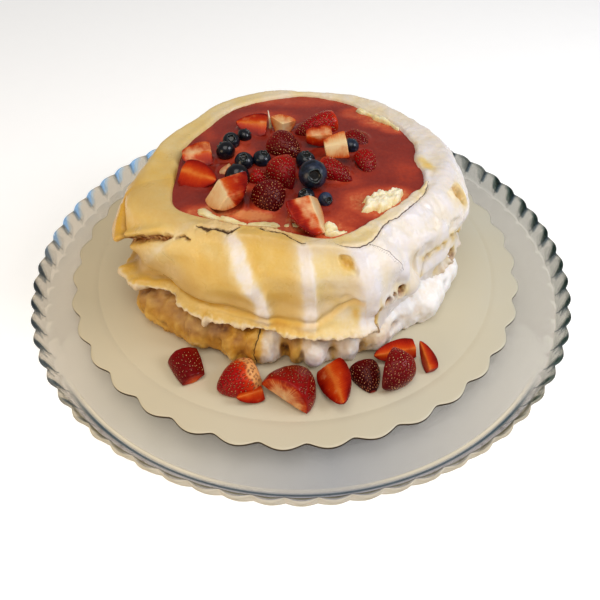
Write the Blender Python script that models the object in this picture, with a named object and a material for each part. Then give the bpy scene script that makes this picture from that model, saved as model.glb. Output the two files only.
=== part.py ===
"""A two-layer pavlova on a scalloped cake board, on a low glass plate.

Metres, +Z up. The origin is under the plate's centre, on the table, and -Y is the front.
Sizes are written in millimetres and turned into metres by MM.
"""

import math

import bmesh
import bpy
from mathutils import Matrix, Vector

MM = 0.001
GAP = 0.3 * MM  # the clearance that neighbouring solids keep

# Glass plate: a disc with a steep fluted rim that stands up round it, on a low foot ring.
PLATE_RADIUS = 182.3 * MM
PLATE_TOP = 18.0 * MM
GLASS_THICKNESS = 4.8 * MM
RIM_FLUTES = 66
RIM_PHASE = math.radians(43.45)
RIM_WIDTH = 9.3 * MM
RIM_NOTCH = 3.0 * MM
RIM_STATIONS = (  # millimetres inside the plate's radius, height over the disc, share of the notch
    (6.7, 1.4, 0.6), (3.3, 9.0, 1.0), (0.0, 8.2, 1.0), (2.9, 0.4, 1.0),
)
FOOT_RADIUS = 98.0 * MM
FOOT_WIDTH = 8.0 * MM
FOOT_POINTS = 33

# The card and the food lie this far from the plate's centre. The sizes below are about their own middle.
FOOD_PLACE = Vector((-0.3 * MM, 9.8 * MM, 0.0))

# Cake board: card with 36 round scallops.
BOARD_CENTRE = Vector((-3.6 * MM, -2.4 * MM, 0.0))
BOARD_NOTCH_RADIUS = 151.0 * MM
BOARD_LOBE_RADIUS = 155.9 * MM
BOARD_LOBES = 36
BOARD_LOBE_STEPS = 3
BOARD_PHASE = math.radians(-17.6)
BOARD_THICKNESS = 1.8 * MM
BOARD_BOTTOM = PLATE_TOP + GAP
BOARD_TOP = BOARD_BOTTOM + BOARD_THICKNESS

# Meringue: both layers are lofted from rings round this axis.
MERINGUE_CENTRE = Vector((0.0, 2.0 * MM, 0.0))
RING_POINTS = 72
BASE_BOTTOM = BOARD_TOP + GAP
BASE_HEIGHT = 26.5 * MM
TOP_BOTTOM = BASE_BOTTOM + BASE_HEIGHT + GAP
SAUCE_LEVEL = PLATE_TOP + 80.0 * MM
WELL_FLOOR = SAUCE_LEVEL - 15.0 * MM
WELL_RADIUS = 74.5 * MM
RIM_LIFT = 2.4 * MM  # how far the rim stands above the sauce
CREST_RADIUS = 85.0 * MM
CREST_WIDTH = 4.0 * MM  # the least width of the rim round the well
INNER_LEAN = 1.5 * MM  # how far the rim's inner edge lies outside the sauce
INNER_DROP = 0.6 * MM
WALL_DROP = 1.0 * MM
WALL_LEAN = 2.0 * MM

# Lobes are (angle in degrees, half width in degrees, amount in millimetres).
WELL_LOBES = (
    (-147, 14, 11), (-104, 14, -6), (-77, 10, 3), (-50, 12, -2),
    (-19, 9, 4), (-3, 6, -3), (89, 14, 2), (150, 15, -4),
)
CREST_LOBES = (
    (-165, 30, 10), (-104, 16, -8), (-69, 8, 5), (-42, 18, -5),
    (2, 24, 8), (82, 16, -6), (148, 12, -3),
)
SHOULDER_LOBES = (
    (-160, 22, 20), (-104, 18, -5), (-69, 8, 3), (-42, 16, -1),
    (-6, 26, 11), (45, 18, -3), (82, 16, -5), (118, 16, -1), (145, 16, -6),
)
FLANK_LOBES = (
    (-160, 16, 22), (-125, 12, 3), (-95, 16, -5), (-68, 8, 3),
    (-42, 14, -3), (-6, 24, 11), (60, 20, 2), (118, 22, 2),
)
WAIST_LOBES = (
    (-158, 12, -1), (-125, 12, 5), (-100, 12, -1), (-68, 8, 5),
    (-42, 16, -3), (-5, 20, 8), (100, 30, 2), (170, 16, 5),
)
LIP_LOBES = (
    (-153, 13, 18), (-128, 10, 4), (-104, 8, -4), (-74, 12, 6),
    (-45, 16, -8), (-8, 12, 10), (30, 14, 3), (75, 12, 3), (130, 20, 4), (175, 10, 8),
)
BASE_LOBES = (
    (-147, 24, 13), (-107, 8, 3), (-97, 4, -5), (-48, 12, -3),
    (-2, 24, 9), (60, 18, 1), (115, 16, 3), (165, 14, 2),
)
# Ridges are (angle at the shoulder, angle at the lip, half width, height in millimetres).
TOP_RIDGES = (
    (-172, -166, 6, 2.0), (-146, -138, 7, 3.0), (-119, -104, 5, 3.6), (-89, -88, 4, 3.2),
    (-69, -67, 7, 4.0), (-44, -40, 7, 2.6), (-18, -12, 9, 3.0), (12, 20, 8, 3.4),
    (40, 47, 7, 3.0), (66, 74, 8, 3.6), (93, 99, 6, 3.0), (118, 127, 8, 3.8),
    (146, 152, 7, 3.2), (167, 174, 6, 2.6),
)
BASE_FOLDS = (
    (-165, 7, 3.0), (-146, 6, 4.0), (-124, 5, 3.0), (-102, 5, 4.5), (-82, 4, 4.0),
    (-64, 5, 3.0), (-40, 6, 3.5), (-20, 6, 4.0), (2, 7, 3.5), (24, 7, 4.0), (47, 6, 3.5),
    (68, 7, 4.0), (92, 6, 3.0), (112, 7, 4.0), (136, 6, 3.5), (158, 7, 4.0),
)

# Cream: its bed lies under the sauce, and these mounds (x, y, spread, height) come through it.
CREAM_BED = SAUCE_LEVEL - 7.0 * MM
CREAM_MOUNDS = (
    (47, -43, 12, 10.5), (54, -38, 8, 2.0), (-53, -52, 9, 9.5), (-36, -58, 9, 9.0),
    (-12, -61, 9, 8.5), (18, -68, 6, 10.0), (56, 48, 8, 9.0), (44, 58, 8, 8.8),
)
CREAM_POINTS = 48
CREAM_INSET = 2.2 * MM
CREAM_TOP = SAUCE_LEVEL + 3.5 * MM
CREAM_RINGS = (0.28, 0.52, 0.72, 0.88, 1.0)

# Fruit. A strawberry piece is a sector of a berry: `tip` is where its point lies, `skin` is
# where the middle of its skin faces, `sector` is its angle round the core, and `stem` and
# `nose` say how much of the length is sliced off at either end. `at` is the middle of its
# box in plan, and `lift` is its lowest point above the surface that it lies on.
BERRY_SIDES = 10
BERRY_RINGS = 6
BERRY_SHOULDER = 0.66  # below 1, the widest part lies nearer the stem
BERRY_BLUNTNESS = 0.6  # below 1, the ends are rounder
SUNK = 1.0  # a piece whose lift is below this many millimetres reaches into the sauce
TOP_STRAWBERRIES = (
    dict(at=(-31, 36), size=(24, 18), sector=150, stem=0.1, lift=-3,
         tip=(-1, 0.1, 0), skin=(0, -0.5, -0.85)),
    dict(at=(-10, 35), size=(18, 21), sector=110, stem=0.3, lift=-4,
         tip=(-0.1, 0.1, -1), skin=(0.1, 1, 0.1)),
    dict(at=(12, 37), size=(33, 17), sector=180, stem=0.12, lift=-1,
         tip=(-0.9, -0.35, -0.1), skin=(-0.1, -0.5, 0.85)),
    dict(at=(-10, 13), size=(25, 21), sector=180, stem=0.1, lift=-2,
         tip=(0.7, -0.6, -0.1), skin=(0, -0.45, 0.9)),
    dict(at=(13, 18), size=(22, 15), sector=120, stem=0.1, lift=1,
         tip=(-1, -0.1, 0), skin=(0, 0.7, -0.5)),
    dict(at=(23, 0), size=(23, 18), sector=120, stem=0.2, lift=5,
         tip=(-0.95, -0.1, -0.15), skin=(0.1, 0.6, -0.7)),
    dict(at=(37, 24), size=(21, 17), sector=180, stem=0.1, lift=-3,
         tip=(0.7, -0.6, 0), skin=(0.3, -0.3, 0.9)),
    dict(at=(21, -14), size=(26, 16), sector=180, stem=0.1, lift=-2,
         tip=(0.8, -0.5, -0.15), skin=(0, -0.5, 0.85)),
    dict(at=(41, -6), size=(21, 15), sector=180, stem=0.2, lift=-2,
         tip=(0.2, -0.9, -0.2), skin=(0.4, -0.4, 0.8)),
    dict(at=(-63, 1), size=(23, 18), sector=150, stem=0.1, lift=-2,
         tip=(-0.95, -0.2, 0), skin=(0, -0.4, -0.9)),
    dict(at=(-61, -19), size=(25, 20), sector=180, stem=0.1, lift=-4,
         tip=(-0.9, 0.3, 0), skin=(0, -0.3, 0.95)),
    dict(at=(-46, -10), size=(14, 11), sector=150, stem=0.2, lift=-4,
         tip=(0.3, 0.9, 0), skin=(0.1, 0, -1)),
    dict(at=(-42, -43), size=(30, 30), sector=120, stem=0.2, lift=-2,
         tip=(0.37, -0.93, -0.1), skin=(0.4, 0.35, -0.85)),
    dict(at=(-24.5, -20), size=(12, 10.5), sector=180, stem=0.1, lift=0,
         tip=(0.9, -0.3, -0.2), skin=(0, -0.4, 0.9)),
    dict(at=(-11, -20), size=(24, 20), sector=160, stem=0.1, lift=-2,
         tip=(0.35, -0.85, -0.3), skin=(-0.5, -0.5, 0.7)),
    dict(at=(-18, -41), size=(22, 21), sector=180, stem=0.1, lift=-1.5,
         tip=(0.3, -0.9, -0.25), skin=(-0.1, -0.45, 0.9)),
    dict(at=(4, -60), size=(33, 27), sector=115, stem=0.15, lift=-3,
         tip=(0.35, -0.75, -0.55), skin=(-0.55, -0.4, -0.7)),
)
BOARD_STRAWBERRIES = (
    dict(at=(-69, -104), size=(34, 19), sector=180, stem=0.18, nose=0.08, lift=0,
         tip=(0.45, -0.9, 0), skin=(-0.1, 0, 1)),
    dict(at=(-36, -114), size=(28, 25), sector=150, stem=0.2, lift=0,
         tip=(-0.35, -0.93, 0), skin=(-0.8, 0.1, -0.45)),
    dict(at=(-29, -124), size=(19, 14), sector=120, stem=0.15, lift=0,
         tip=(-0.85, -0.3, 0), skin=(0.2, 0.4, -0.85)),
    dict(at=(-7, -121), size=(35, 31), sector=170, stem=0.12, lift=0,
         tip=(0.8, -0.6, 0), skin=(0.25, 0.45, 0.8)),
    dict(at=(19, -121), size=(37, 25), sector=110, stem=0.1, lift=0,
         tip=(0.3, -0.95, 0), skin=(0.7, 0.2, -0.6)),
    dict(at=(38, -112), size=(26, 18), sector=180, stem=0.15, lift=0,
         tip=(0.25, -0.95, 0), skin=(0, -0.1, 1)),
    dict(at=(57, -95), size=(30, 17), sector=120, stem=0.1, lift=0,
         tip=(-0.95, -0.2, 0), skin=(0.1, 0.6, -0.7)),
    dict(at=(57, -113), size=(28, 25), sector=160, stem=0.15, lift=0,
         tip=(-0.5, -0.85, 0), skin=(0.3, -0.5, 0.8)),
    dict(at=(77, -100), size=(22, 13), sector=110, stem=0.1, lift=0,
         tip=(-0.2, 0.95, 0.2), skin=(0.6, 0, -0.7)),
)

# A blueberry is (x, y, diameter, lift of its lowest point over the sauce, crown direction).
BLUEBERRY_SIDES = 8
BLUEBERRIES = (
    (-43.5, 18, 11.5, -2.0, (0.1, -0.6, 0.8)),
    (-35.5, 26, 10.0, -2.5, (0.6, 0.3, 0.7)),
    (-46, 5.5, 13.0, -2.0, (-0.5, 0.6, 0.4)),
    (-34, -5, 12.0, -2.0, (0, -0.45, 0.9)),
    (-23, -2, 12.0, -2.5, (0.35, -0.1, 0.95)),
    (-37, -22, 15.5, -2.0, (-0.3, 0.8, 0.2)),
    (4, -6, 12.5, -1.0, (0.1, -0.2, 0.97)),
    (8, -28, 17.5, 1.0, (0.15, -0.85, 0.45)),
    (33, 12, 11.0, -2.5, (0.2, 0.5, 0.8)),
    (4, -38.5, 10.5, -3.0, (-0.4, -0.2, 0.8)),
    (15, -43, 9.0, -1.5, (0.5, -0.7, 0.4)),
)


def paint(name, color, roughness, transmission=0.0):
    """A Principled material: colour as linear RGB."""
    material = bpy.data.materials.new(name)
    material.use_nodes = True
    shader = material.node_tree.nodes["Principled BSDF"]
    shader.inputs["Base Color"].default_value = (*color, 1.0)
    shader.inputs["Roughness"].default_value = roughness
    shader.inputs["Metallic"].default_value = 0.0
    shader.inputs["Transmission Weight"].default_value = transmission
    return material


def add_object(name, bm, material, place=FOOD_PLACE):
    """Closes the bmesh into an object, with its faces pointing out and round parts smooth."""
    bmesh.ops.recalc_face_normals(bm, faces=bm.faces)
    bmesh.ops.translate(bm, verts=bm.verts, vec=place)
    mesh = bpy.data.meshes.new(name)
    bm.to_mesh(mesh)
    bm.free()
    mesh.materials.append(material)
    mesh.shade_smooth()
    mesh.set_sharp_from_angle(angle=math.radians(40))
    piece = bpy.data.objects.new(name, mesh)
    bpy.context.scene.collection.objects.link(piece)
    return piece


def polar(radius, angle, height):
    return Vector((radius * math.cos(angle), radius * math.sin(angle), height))


def circle_angles(count, phase=0.0):
    return [phase + 2 * math.pi * i / count for i in range(count)]


def bridge(bm, ring, other):
    """Joins two closed rings. The second may have a whole number of points for each of the first."""
    ratio = len(other) // len(ring)
    for i in range(len(ring)):
        far = [other[(i * ratio + k) % len(other)] for k in range(ratio, -1, -1)]
        bm.faces.new([ring[i], ring[(i + 1) % len(ring)], *far])


def loft(rings):
    """A closed solid through rings of points, capped at both ends."""
    bm = bmesh.new()
    loops = [[bm.verts.new(point) for point in ring] for ring in rings]
    for ring, other in zip(loops, loops[1:]):
        bridge(bm, ring, other) if len(ring) <= len(other) else bridge(bm, other, ring)
    bm.faces.new(loops[0])
    bm.faces.new(loops[-1])
    return bm


def lobes(angle, entries):
    """The sum of round lobes at this angle, in metres."""
    total = 0.0
    for centre, width, amount in entries:
        away = (math.degrees(angle) - centre + 180) % 360 - 180
        total += amount * MM * math.exp(-((away / width) ** 2))
    return total


def glass_plate():
    """The disc, its upright fluted rim and its foot ring, as one turned section."""
    fluted = circle_angles(2 * RIM_FLUTES, RIM_PHASE)
    plain = circle_angles(RIM_FLUTES, RIM_PHASE)
    foot = circle_angles(FOOT_POINTS, RIM_PHASE)
    underside = PLATE_TOP - GLASS_THICKNESS

    def flutes(radius, height, depth):
        """A ring with a notch at every second point."""
        return [polar(radius - depth * ((i + 1) % 2), angle, height) for i, angle in enumerate(fluted)]

    def turned(radius, height, angles):
        return [polar(radius, angle, height) for angle in angles]

    rings = [turned(PLATE_RADIUS - RIM_WIDTH, PLATE_TOP, plain)]
    for inset, rise, share in RIM_STATIONS:
        rings.append(flutes(PLATE_RADIUS - inset * MM, PLATE_TOP + rise * MM, share * RIM_NOTCH))
    rings += [
        turned(PLATE_RADIUS - 0.7 * RIM_WIDTH, underside, plain),
        turned(FOOT_RADIUS + 0.25 * FOOT_WIDTH, underside, foot),
        turned(FOOT_RADIUS, 0.0, foot),
        turned(FOOT_RADIUS - FOOT_WIDTH, 0.0, foot),
        turned(FOOT_RADIUS - 1.25 * FOOT_WIDTH, underside, foot),
    ]
    glass = paint("pressed_glass", (0.75, 0.86, 0.85), 0.03, 0.9)
    add_object("glass_plate", loft(rings), glass, Vector((0, 0, 0)))


def cake_board():
    """Card cut into round scallops: each lobe is an arc between two notches."""
    outline = []
    for angle in circle_angles(BOARD_LOBES * BOARD_LOBE_STEPS, BOARD_PHASE):
        along = (angle - BOARD_PHASE) * BOARD_LOBES / (2 * math.pi) % 1.0
        swell = abs(math.sin(math.pi * along))
        radius = BOARD_NOTCH_RADIUS + (BOARD_LOBE_RADIUS - BOARD_NOTCH_RADIUS) * swell
        outline.append(BOARD_CENTRE + polar(radius, angle, 0.0))
    rings = [[point + Vector((0, 0, z)) for point in outline] for z in (BOARD_BOTTOM, BOARD_TOP)]
    add_object("cake_board", loft(rings), paint("coated_card", (0.62, 0.55, 0.40), 0.45))


def base_fold(angle):
    """The upright folds in the lower layer's wall."""
    return lobes(angle, BASE_FOLDS)


def meringue_base():
    """The lower layer: a low drum with a folded wall, flat where the board and the top layer bear."""
    stations = (  # radius, height above the layer's foot, share of the lobes, share of the folds
        (92, 0.0, 0.5, 0.0),
        (101, 0.4, 1.0, 0.5),
        (104, 8.0, 1.0, 0.9),
        (103, 17.0, 0.9, 1.0),
        (96, 24.0, 0.6, 0.5),
        (88, 26.5, 0.4, 0.0),
    )
    rings = []
    for radius, height, lobe_share, fold_share in stations:
        ring = []
        for angle in circle_angles(RING_POINTS):
            reach = radius * MM + lobe_share * lobes(angle, BASE_LOBES) + fold_share * base_fold(angle)
            ring.append(MERINGUE_CENTRE + polar(reach, angle, BASE_BOTTOM + height * MM))
        rings.append(ring)
    add_object("meringue_base", loft(rings), paint("toasted_meringue", (0.80, 0.58, 0.32), 0.7))


def well_radius(angle):
    return WELL_RADIUS + lobes(angle, WELL_LOBES)


def top_ridge(angle, drop):
    """The ridges that run down the wall. `drop` is 0 at the shoulder and 1 at the lip."""
    leaning = [
        (upper + (lower - upper) * drop, width, amount)
        for upper, lower, width, amount in TOP_RIDGES
    ]
    return lobes(angle, leaning)


def meringue_top():
    """The upper layer: a nest with a flared lip, a ridged wall, a rounded rim and a flat-floored well."""
    rim = SAUCE_LEVEL + RIM_LIFT - TOP_BOTTOM
    stations = (  # radius, height above the layer's foot, lobes, lobe share, ridge share, drop
        (86, 0.0, LIP_LOBES, 0.3, 0.0, 1.0),
        (101, 0.6, LIP_LOBES, 1.0, 0.4, 1.0),
        (104.5, 2.2, LIP_LOBES, 1.0, 0.5, 1.0),
        (101, 8.0, LIP_LOBES, 0.7, 0.8, 0.85),
        (98, 17.0, WAIST_LOBES, 1.0, 1.0, 0.65),
        (98, 30.0, FLANK_LOBES, 1.0, 1.0, 0.35),
        (89, 1000 * rim - 6.0, SHOULDER_LOBES, 1.0, 0.6, 0.0),
    )
    rings = []
    for radius, height, entries, lobe_share, ridge_share, drop in stations:
        ring = []
        for angle in circle_angles(RING_POINTS):
            reach = radius * MM + lobe_share * lobes(angle, entries) + ridge_share * top_ridge(angle, drop)
            ring.append(MERINGUE_CENTRE + polar(reach, angle, TOP_BOTTOM + height * MM))
        rings.append(ring)
    crest, inner, wall, floor = [], [], [], []
    for angle in circle_angles(RING_POINTS):
        well = well_radius(angle)
        outer = max(CREST_RADIUS + lobes(angle, CREST_LOBES), well + CREST_WIDTH)
        crest.append(MERINGUE_CENTRE + polar(outer, angle, TOP_BOTTOM + rim))
        inner.append(MERINGUE_CENTRE + polar(well + INNER_LEAN, angle, TOP_BOTTOM + rim - INNER_DROP))
        wall.append(MERINGUE_CENTRE + polar(well, angle, SAUCE_LEVEL - WALL_DROP))
        floor.append(MERINGUE_CENTRE + polar(well - WALL_LEAN, angle, WELL_FLOOR))
    rings += [crest, inner, wall, floor]
    add_object("meringue_top", loft(rings), paint("pale_meringue", (0.86, 0.72, 0.50), 0.65))


def cream_height(x, y):
    """The cream's surface: a bed with mounds."""
    height = CREAM_BED
    for mound_x, mound_y, spread, amount in CREAM_MOUNDS:
        away = math.hypot(x - mound_x * MM, y - mound_y * MM) / (spread * MM)
        height += amount * MM * math.exp(-(away**4))
    return min(height, CREAM_TOP)


def cream_body():
    """The cream as a bmesh: a flat foot in the well, and the mounded surface above it."""
    angles = circle_angles(CREAM_POINTS)
    foot = WELL_FLOOR + GAP
    rings = [[MERINGUE_CENTRE + polar(well_radius(a) - 2 * CREAM_INSET, a, foot) for a in angles]]
    for share in reversed(CREAM_RINGS):
        ring = []
        for angle in angles:
            point = MERINGUE_CENTRE + polar((well_radius(angle) - CREAM_INSET) * share, angle, 0.0)
            point.z = cream_height(point.x, point.y)
            ring.append(point)
        rings.append(ring)
    bm = loft(rings)
    bmesh.ops.triangulate(bm, faces=bm.faces)
    return bm


def whipped_cream():
    add_object("whipped_cream", cream_body(), paint("whipped_cream", (0.90, 0.86, 0.70), 0.5))


def berry_profile(along):
    """A berry's half width at this share of its length: blunt at the stem, tapering to the tip."""
    return math.sin(math.pi * along**BERRY_SHOULDER) ** BERRY_BLUNTNESS


def cut(bm, point, normal):
    """Slices off what lies beyond the plane and closes the cut."""
    everything = bm.verts[:] + bm.edges[:] + bm.faces[:]
    sliced = bmesh.ops.bisect_plane(
        bm, geom=everything, plane_co=point, plane_no=normal, clear_outer=True, dist=1e-6
    )
    edges = [item for item in sliced["geom_cut"] if isinstance(item, bmesh.types.BMEdge)]
    if edges:
        bmesh.ops.contextual_create(bm, geom=edges)


def berry_piece(size, tip, skin, sector, stem=0.0, nose=0.0, **_place):
    """A cut piece of strawberry, turned the way it lies, in metres about the berry's middle."""
    length, width = (value * MM for value in size)
    bm = bmesh.new()
    rings = []
    for i in range(1, BERRY_RINGS + 1):
        along = 0.5 - 0.5 * math.cos(math.pi * i / (BERRY_RINGS + 1))
        radius = 0.5 * width * berry_profile(along)
        x = (along - 0.5) * length
        angles = circle_angles(BERRY_SIDES, 0.1)
        rings.append([bm.verts.new((x, radius * math.sin(a), radius * math.cos(a))) for a in angles])
    for ring, other in zip(rings, rings[1:]):
        bridge(bm, ring, other)
    for ring, x in ((rings[0], -0.5 * length), (rings[-1], 0.5 * length)):
        pole = bm.verts.new((x, 0, 0))
        for i in range(BERRY_SIDES):
            bm.faces.new((ring[i], ring[(i + 1) % BERRY_SIDES], pole))
    bmesh.ops.recalc_face_normals(bm, faces=bm.faces)
    half = math.radians(sector / 2)
    if sector < 180:
        cut(bm, (0, 0, 0), (0, math.cos(half), -math.sin(half)))
        cut(bm, (0, 0, 0), (0, -math.cos(half), -math.sin(half)))
    else:
        cut(bm, (0, 0, 0), (0, 0, -1))
    if stem:
        cut(bm, ((stem - 0.5) * length, 0, 0), (-1, 0, 0))
    if nose:
        cut(bm, ((0.5 - nose) * length, 0, 0), (1, 0, 0))
    forward = Vector(tip).normalized()
    up = Vector(skin)
    up = (up - forward * up.dot(forward)).normalized()
    side = up.cross(forward)
    bm.transform(Matrix((forward, side, up)).transposed().to_4x4())
    return bm


def settle(bm, x, y, lowest):
    """Moves the shape so that its box is centred on x, y and its lowest point is at this height."""
    corners = [vert.co for vert in bm.verts]
    low = [min(c[axis] for c in corners) for axis in range(3)]
    high = [max(c[axis] for c in corners) for axis in range(3)]
    shift = Vector((x - (low[0] + high[0]) / 2, y - (low[1] + high[1]) / 2, lowest - low[2]))
    bmesh.ops.translate(bm, verts=bm.verts, vec=shift)
    return bm


def swollen(bm, amount):
    """Moves every face out by this amount."""
    bmesh.ops.recalc_face_normals(bm, faces=bm.faces)
    bm.normal_update()
    moves = [vert.normal * amount * vert.calc_shell_factor() for vert in bm.verts]
    for vert, move in zip(bm.verts, moves):
        vert.co += move
    return bm


def strawberry(piece, surface):
    x, y = piece["at"]
    return settle(berry_piece(**piece), x * MM, y * MM, surface + piece["lift"] * MM)


def blueberry(x, y, diameter, lift, crown):
    """A slightly flattened ball with a raised ring and a hollow at its crown."""
    r = 0.5 * diameter * MM
    section = (  # distance from the axis and height, as shares of the radius
        (0.62, -0.72),
        (0.97, -0.2),
        (0.9, 0.4),
        (0.52, 0.78),
        (0.36, 0.92),
        (0.24, 0.74),
    )
    bm = bmesh.new()
    rings = []
    for out, up in section:
        rings.append([bm.verts.new(polar(out * r, a, up * r)) for a in circle_angles(BLUEBERRY_SIDES)])
    for ring, other in zip(rings, rings[1:]):
        bridge(bm, ring, other)
    for ring, up in ((rings[0], -0.9), (rings[-1], 0.72)):
        pole = bm.verts.new((0, 0, up * r))
        for i in range(BLUEBERRY_SIDES):
            bm.faces.new((ring[i], ring[(i + 1) % BLUEBERRY_SIDES], pole))
    turn = Vector((0, 0, 1)).rotation_difference(Vector(crown).normalized())
    bm.transform(turn.to_matrix().to_4x4())
    return settle(bm, x * MM, y * MM, SAUCE_LEVEL + lift * MM)


def fruit():
    """Adds every piece of fruit."""
    red = paint("strawberry", (0.55, 0.03, 0.02), 0.35)
    blue = paint("blueberry", (0.03, 0.04, 0.09), 0.5)
    for number, piece in enumerate(TOP_STRAWBERRIES, 1):
        add_object(f"strawberry_top_{number:02}", strawberry(piece, SAUCE_LEVEL), red)
    for number, piece in enumerate(BOARD_STRAWBERRIES, 1):
        add_object(f"strawberry_board_{number}", strawberry(piece, BOARD_TOP + GAP), red)
    for number, berry in enumerate(BLUEBERRIES, 1):
        add_object(f"blueberry_{number:02}", blueberry(*berry), blue)


def cutter(name, bm, collection):
    """A hidden solid that the sauce is cut by."""
    bmesh.ops.recalc_face_normals(bm, faces=bm.faces)
    bmesh.ops.translate(bm, verts=bm.verts, vec=FOOD_PLACE)
    mesh = bpy.data.meshes.new(name)
    bm.to_mesh(mesh)
    bm.free()
    piece = bpy.data.objects.new(name, mesh)
    piece.hide_render = True
    piece.display_type = "WIRE"
    collection.objects.link(piece)


def strawberry_sauce():
    """The pool: it fills the well above the cream's bed, and is cut round the fruit and the mounds."""
    collection = bpy.data.collections.new("sauce_cutters")
    bpy.context.scene.collection.children.link(collection)
    sunk = [strawberry(piece, SAUCE_LEVEL) for piece in TOP_STRAWBERRIES if piece["lift"] < SUNK]
    sunk += [blueberry(*berry) for berry in BLUEBERRIES if berry[3] < SUNK]
    for number, bm in enumerate(sunk):
        cutter(f"cut_fruit_{number}", swollen(bm, 1.2 * GAP), collection)
    cutter("cut_cream", swollen(cream_body(), 2 * GAP), collection)
    angles = circle_angles(RING_POINTS)
    stations = (  # clearance from the well's wall, depth under the surface
        (1.2, 6.5),
        (0.5, 1.0),
        (0.3, 0.0),
    )
    rings = []
    for inset, depth in stations:
        height = SAUCE_LEVEL - depth * MM
        rings.append([MERINGUE_CENTRE + polar(well_radius(a) - inset * MM, a, height) for a in angles])
    sauce = add_object("strawberry_sauce", loft(rings), paint("strawberry_sauce", (0.35, 0.03, 0.02), 0.2))
    trim = sauce.modifiers.new("round_fruit_and_cream", "BOOLEAN")
    trim.operation = "DIFFERENCE"
    trim.operand_type = "COLLECTION"
    trim.collection = collection


def clear_scene():
    for item in list(bpy.data.objects):
        bpy.data.objects.remove(item, do_unlink=True)


clear_scene()
glass_plate()
cake_board()
meringue_base()
meringue_top()
whipped_cream()
fruit()
strawberry_sauce()
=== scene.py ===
import math
from functools import partial

import bmesh
import bpy
import numpy as np
from mathutils import Euler, Matrix, Vector, noise


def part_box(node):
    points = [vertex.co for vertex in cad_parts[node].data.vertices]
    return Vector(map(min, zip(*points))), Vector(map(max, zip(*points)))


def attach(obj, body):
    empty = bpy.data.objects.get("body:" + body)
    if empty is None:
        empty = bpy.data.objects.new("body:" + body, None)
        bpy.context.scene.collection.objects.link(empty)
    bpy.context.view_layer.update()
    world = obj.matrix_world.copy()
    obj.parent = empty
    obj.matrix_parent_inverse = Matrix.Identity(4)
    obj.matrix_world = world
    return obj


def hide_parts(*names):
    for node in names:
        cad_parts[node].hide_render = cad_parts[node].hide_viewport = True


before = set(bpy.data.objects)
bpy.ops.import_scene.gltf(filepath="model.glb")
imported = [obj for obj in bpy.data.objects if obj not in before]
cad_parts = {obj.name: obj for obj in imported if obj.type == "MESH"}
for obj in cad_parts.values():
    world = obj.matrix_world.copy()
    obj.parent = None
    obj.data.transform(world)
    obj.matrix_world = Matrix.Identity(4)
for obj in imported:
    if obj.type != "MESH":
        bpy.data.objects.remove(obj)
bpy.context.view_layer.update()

# everything is worked out in millimetres, and placePiece turns it to metres
mm = 0.001
body = "root"
# the food and its card are worked out about their own middle, which lies here from the plate's
foodPlace = np.array((-0.3, 9.8, 0.0))
plateMiddle = np.zeros(3)


def hexColor(code):
    # sRGB hex to linear RGBA
    channels = [int(code[i:i + 2], 16) / 255 for i in (1, 3, 5)]
    linear = [c / 12.92 if c <= 0.04045 else ((c + 0.055) / 1.055) ** 2.4 for c in channels]
    return (*linear, 1.0)


def fill(node, inputs):
    # links an input given as a socket, or as a node for its first output in use, and sets any other value
    for name, value in inputs.items():
        if isinstance(value, bpy.types.Node):
            value = next(output for output in value.outputs if output.enabled)
        if isinstance(value, bpy.types.NodeSocket):
            node.id_data.links.new(value, node.inputs[name])
        else:
            isColor = isinstance(value, str) and value.startswith("#")
            node.inputs[name].default_value = hexColor(value) if isColor else value


def addNode(tree, kind, inputs=None, stops=None, **settings):
    # one node with its settings and inputs; stops are a colour ramp's places and colours
    node = tree.nodes.new(kind)
    for name, value in settings.items():
        setattr(node, name, value)
    if stops:
        ramp = node.color_ramp
        while len(ramp.elements) < len(stops):
            ramp.elements.new(0.5)
        for element, (place, color) in zip(ramp.elements, stops):
            element.position = place
            element.color = hexColor(color) if isinstance(color, str) else (color, color, color, 1.0)
    fill(node, inputs or {})
    return node


def newMaterial(name, **values):
    # a Principled material with plain values; returns it, what adds a node to it, and its shader
    material = bpy.data.materials.new(name)
    material.use_nodes = True
    shader = material.node_tree.nodes["Principled BSDF"]
    fill(shader, {socket.replace("_", " "): value for socket, value in values.items()})
    return material, partial(addNode, material.node_tree), shader


def newGroup(name, inputs):
    # a node group that changes a geometry; returns it, what adds a node to it, and what it is given
    tree = bpy.data.node_groups.new(name, "GeometryNodeTree")
    for label, kind in (("Geometry", "Geometry"), *inputs):
        tree.interface.new_socket(label, in_out="INPUT", socket_type="NodeSocket" + kind)
    tree.interface.new_socket("Geometry", in_out="OUTPUT", socket_type="NodeSocketGeometry")
    return tree, partial(addNode, tree), addNode(tree, "NodeGroupInput").outputs


def showObject(name, data):
    made = bpy.data.objects.new(name, data)
    bpy.context.scene.collection.objects.link(made)
    return made


def runGroup(piece, tree, values, name):
    # the node group's result as a plain mesh object; the starting piece goes
    modifier = piece.modifiers.new("shape", "NODES")
    modifier.node_group = tree
    for item in tree.interface.items_tree:
        if item.in_out == "INPUT" and item.name in values:
            modifier[item.identifier] = values[item.name]
    graph = bpy.context.evaluated_depsgraph_get()
    mesh = bpy.data.meshes.new_from_object(piece.evaluated_get(graph))
    mesh.name = name
    bpy.data.objects.remove(piece, do_unlink=True)
    return showObject(name, mesh)


def turnFrom(degrees, centre):
    # the turn from this angle, -180 to 180
    return (degrees - centre + 180) % 360 - 180


def bell(away, width):
    # 1 in the middle, falling away over this width
    return np.exp(-((away / width) ** 2))


def smooth(low, high, value):
    # 0 below low, 1 above high, with an even slope between
    share = np.clip((value - low) / (high - low), 0, 1)
    return share * share * (3 - 2 * share)


def lobes(degrees, entries):
    # the sum of round lobes, each (angle, half width in degrees, millimetres)
    total = np.zeros_like(degrees)
    for centre, width, amount in entries:
        total += amount * bell(turnFrom(degrees, centre), width)
    return total


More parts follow.
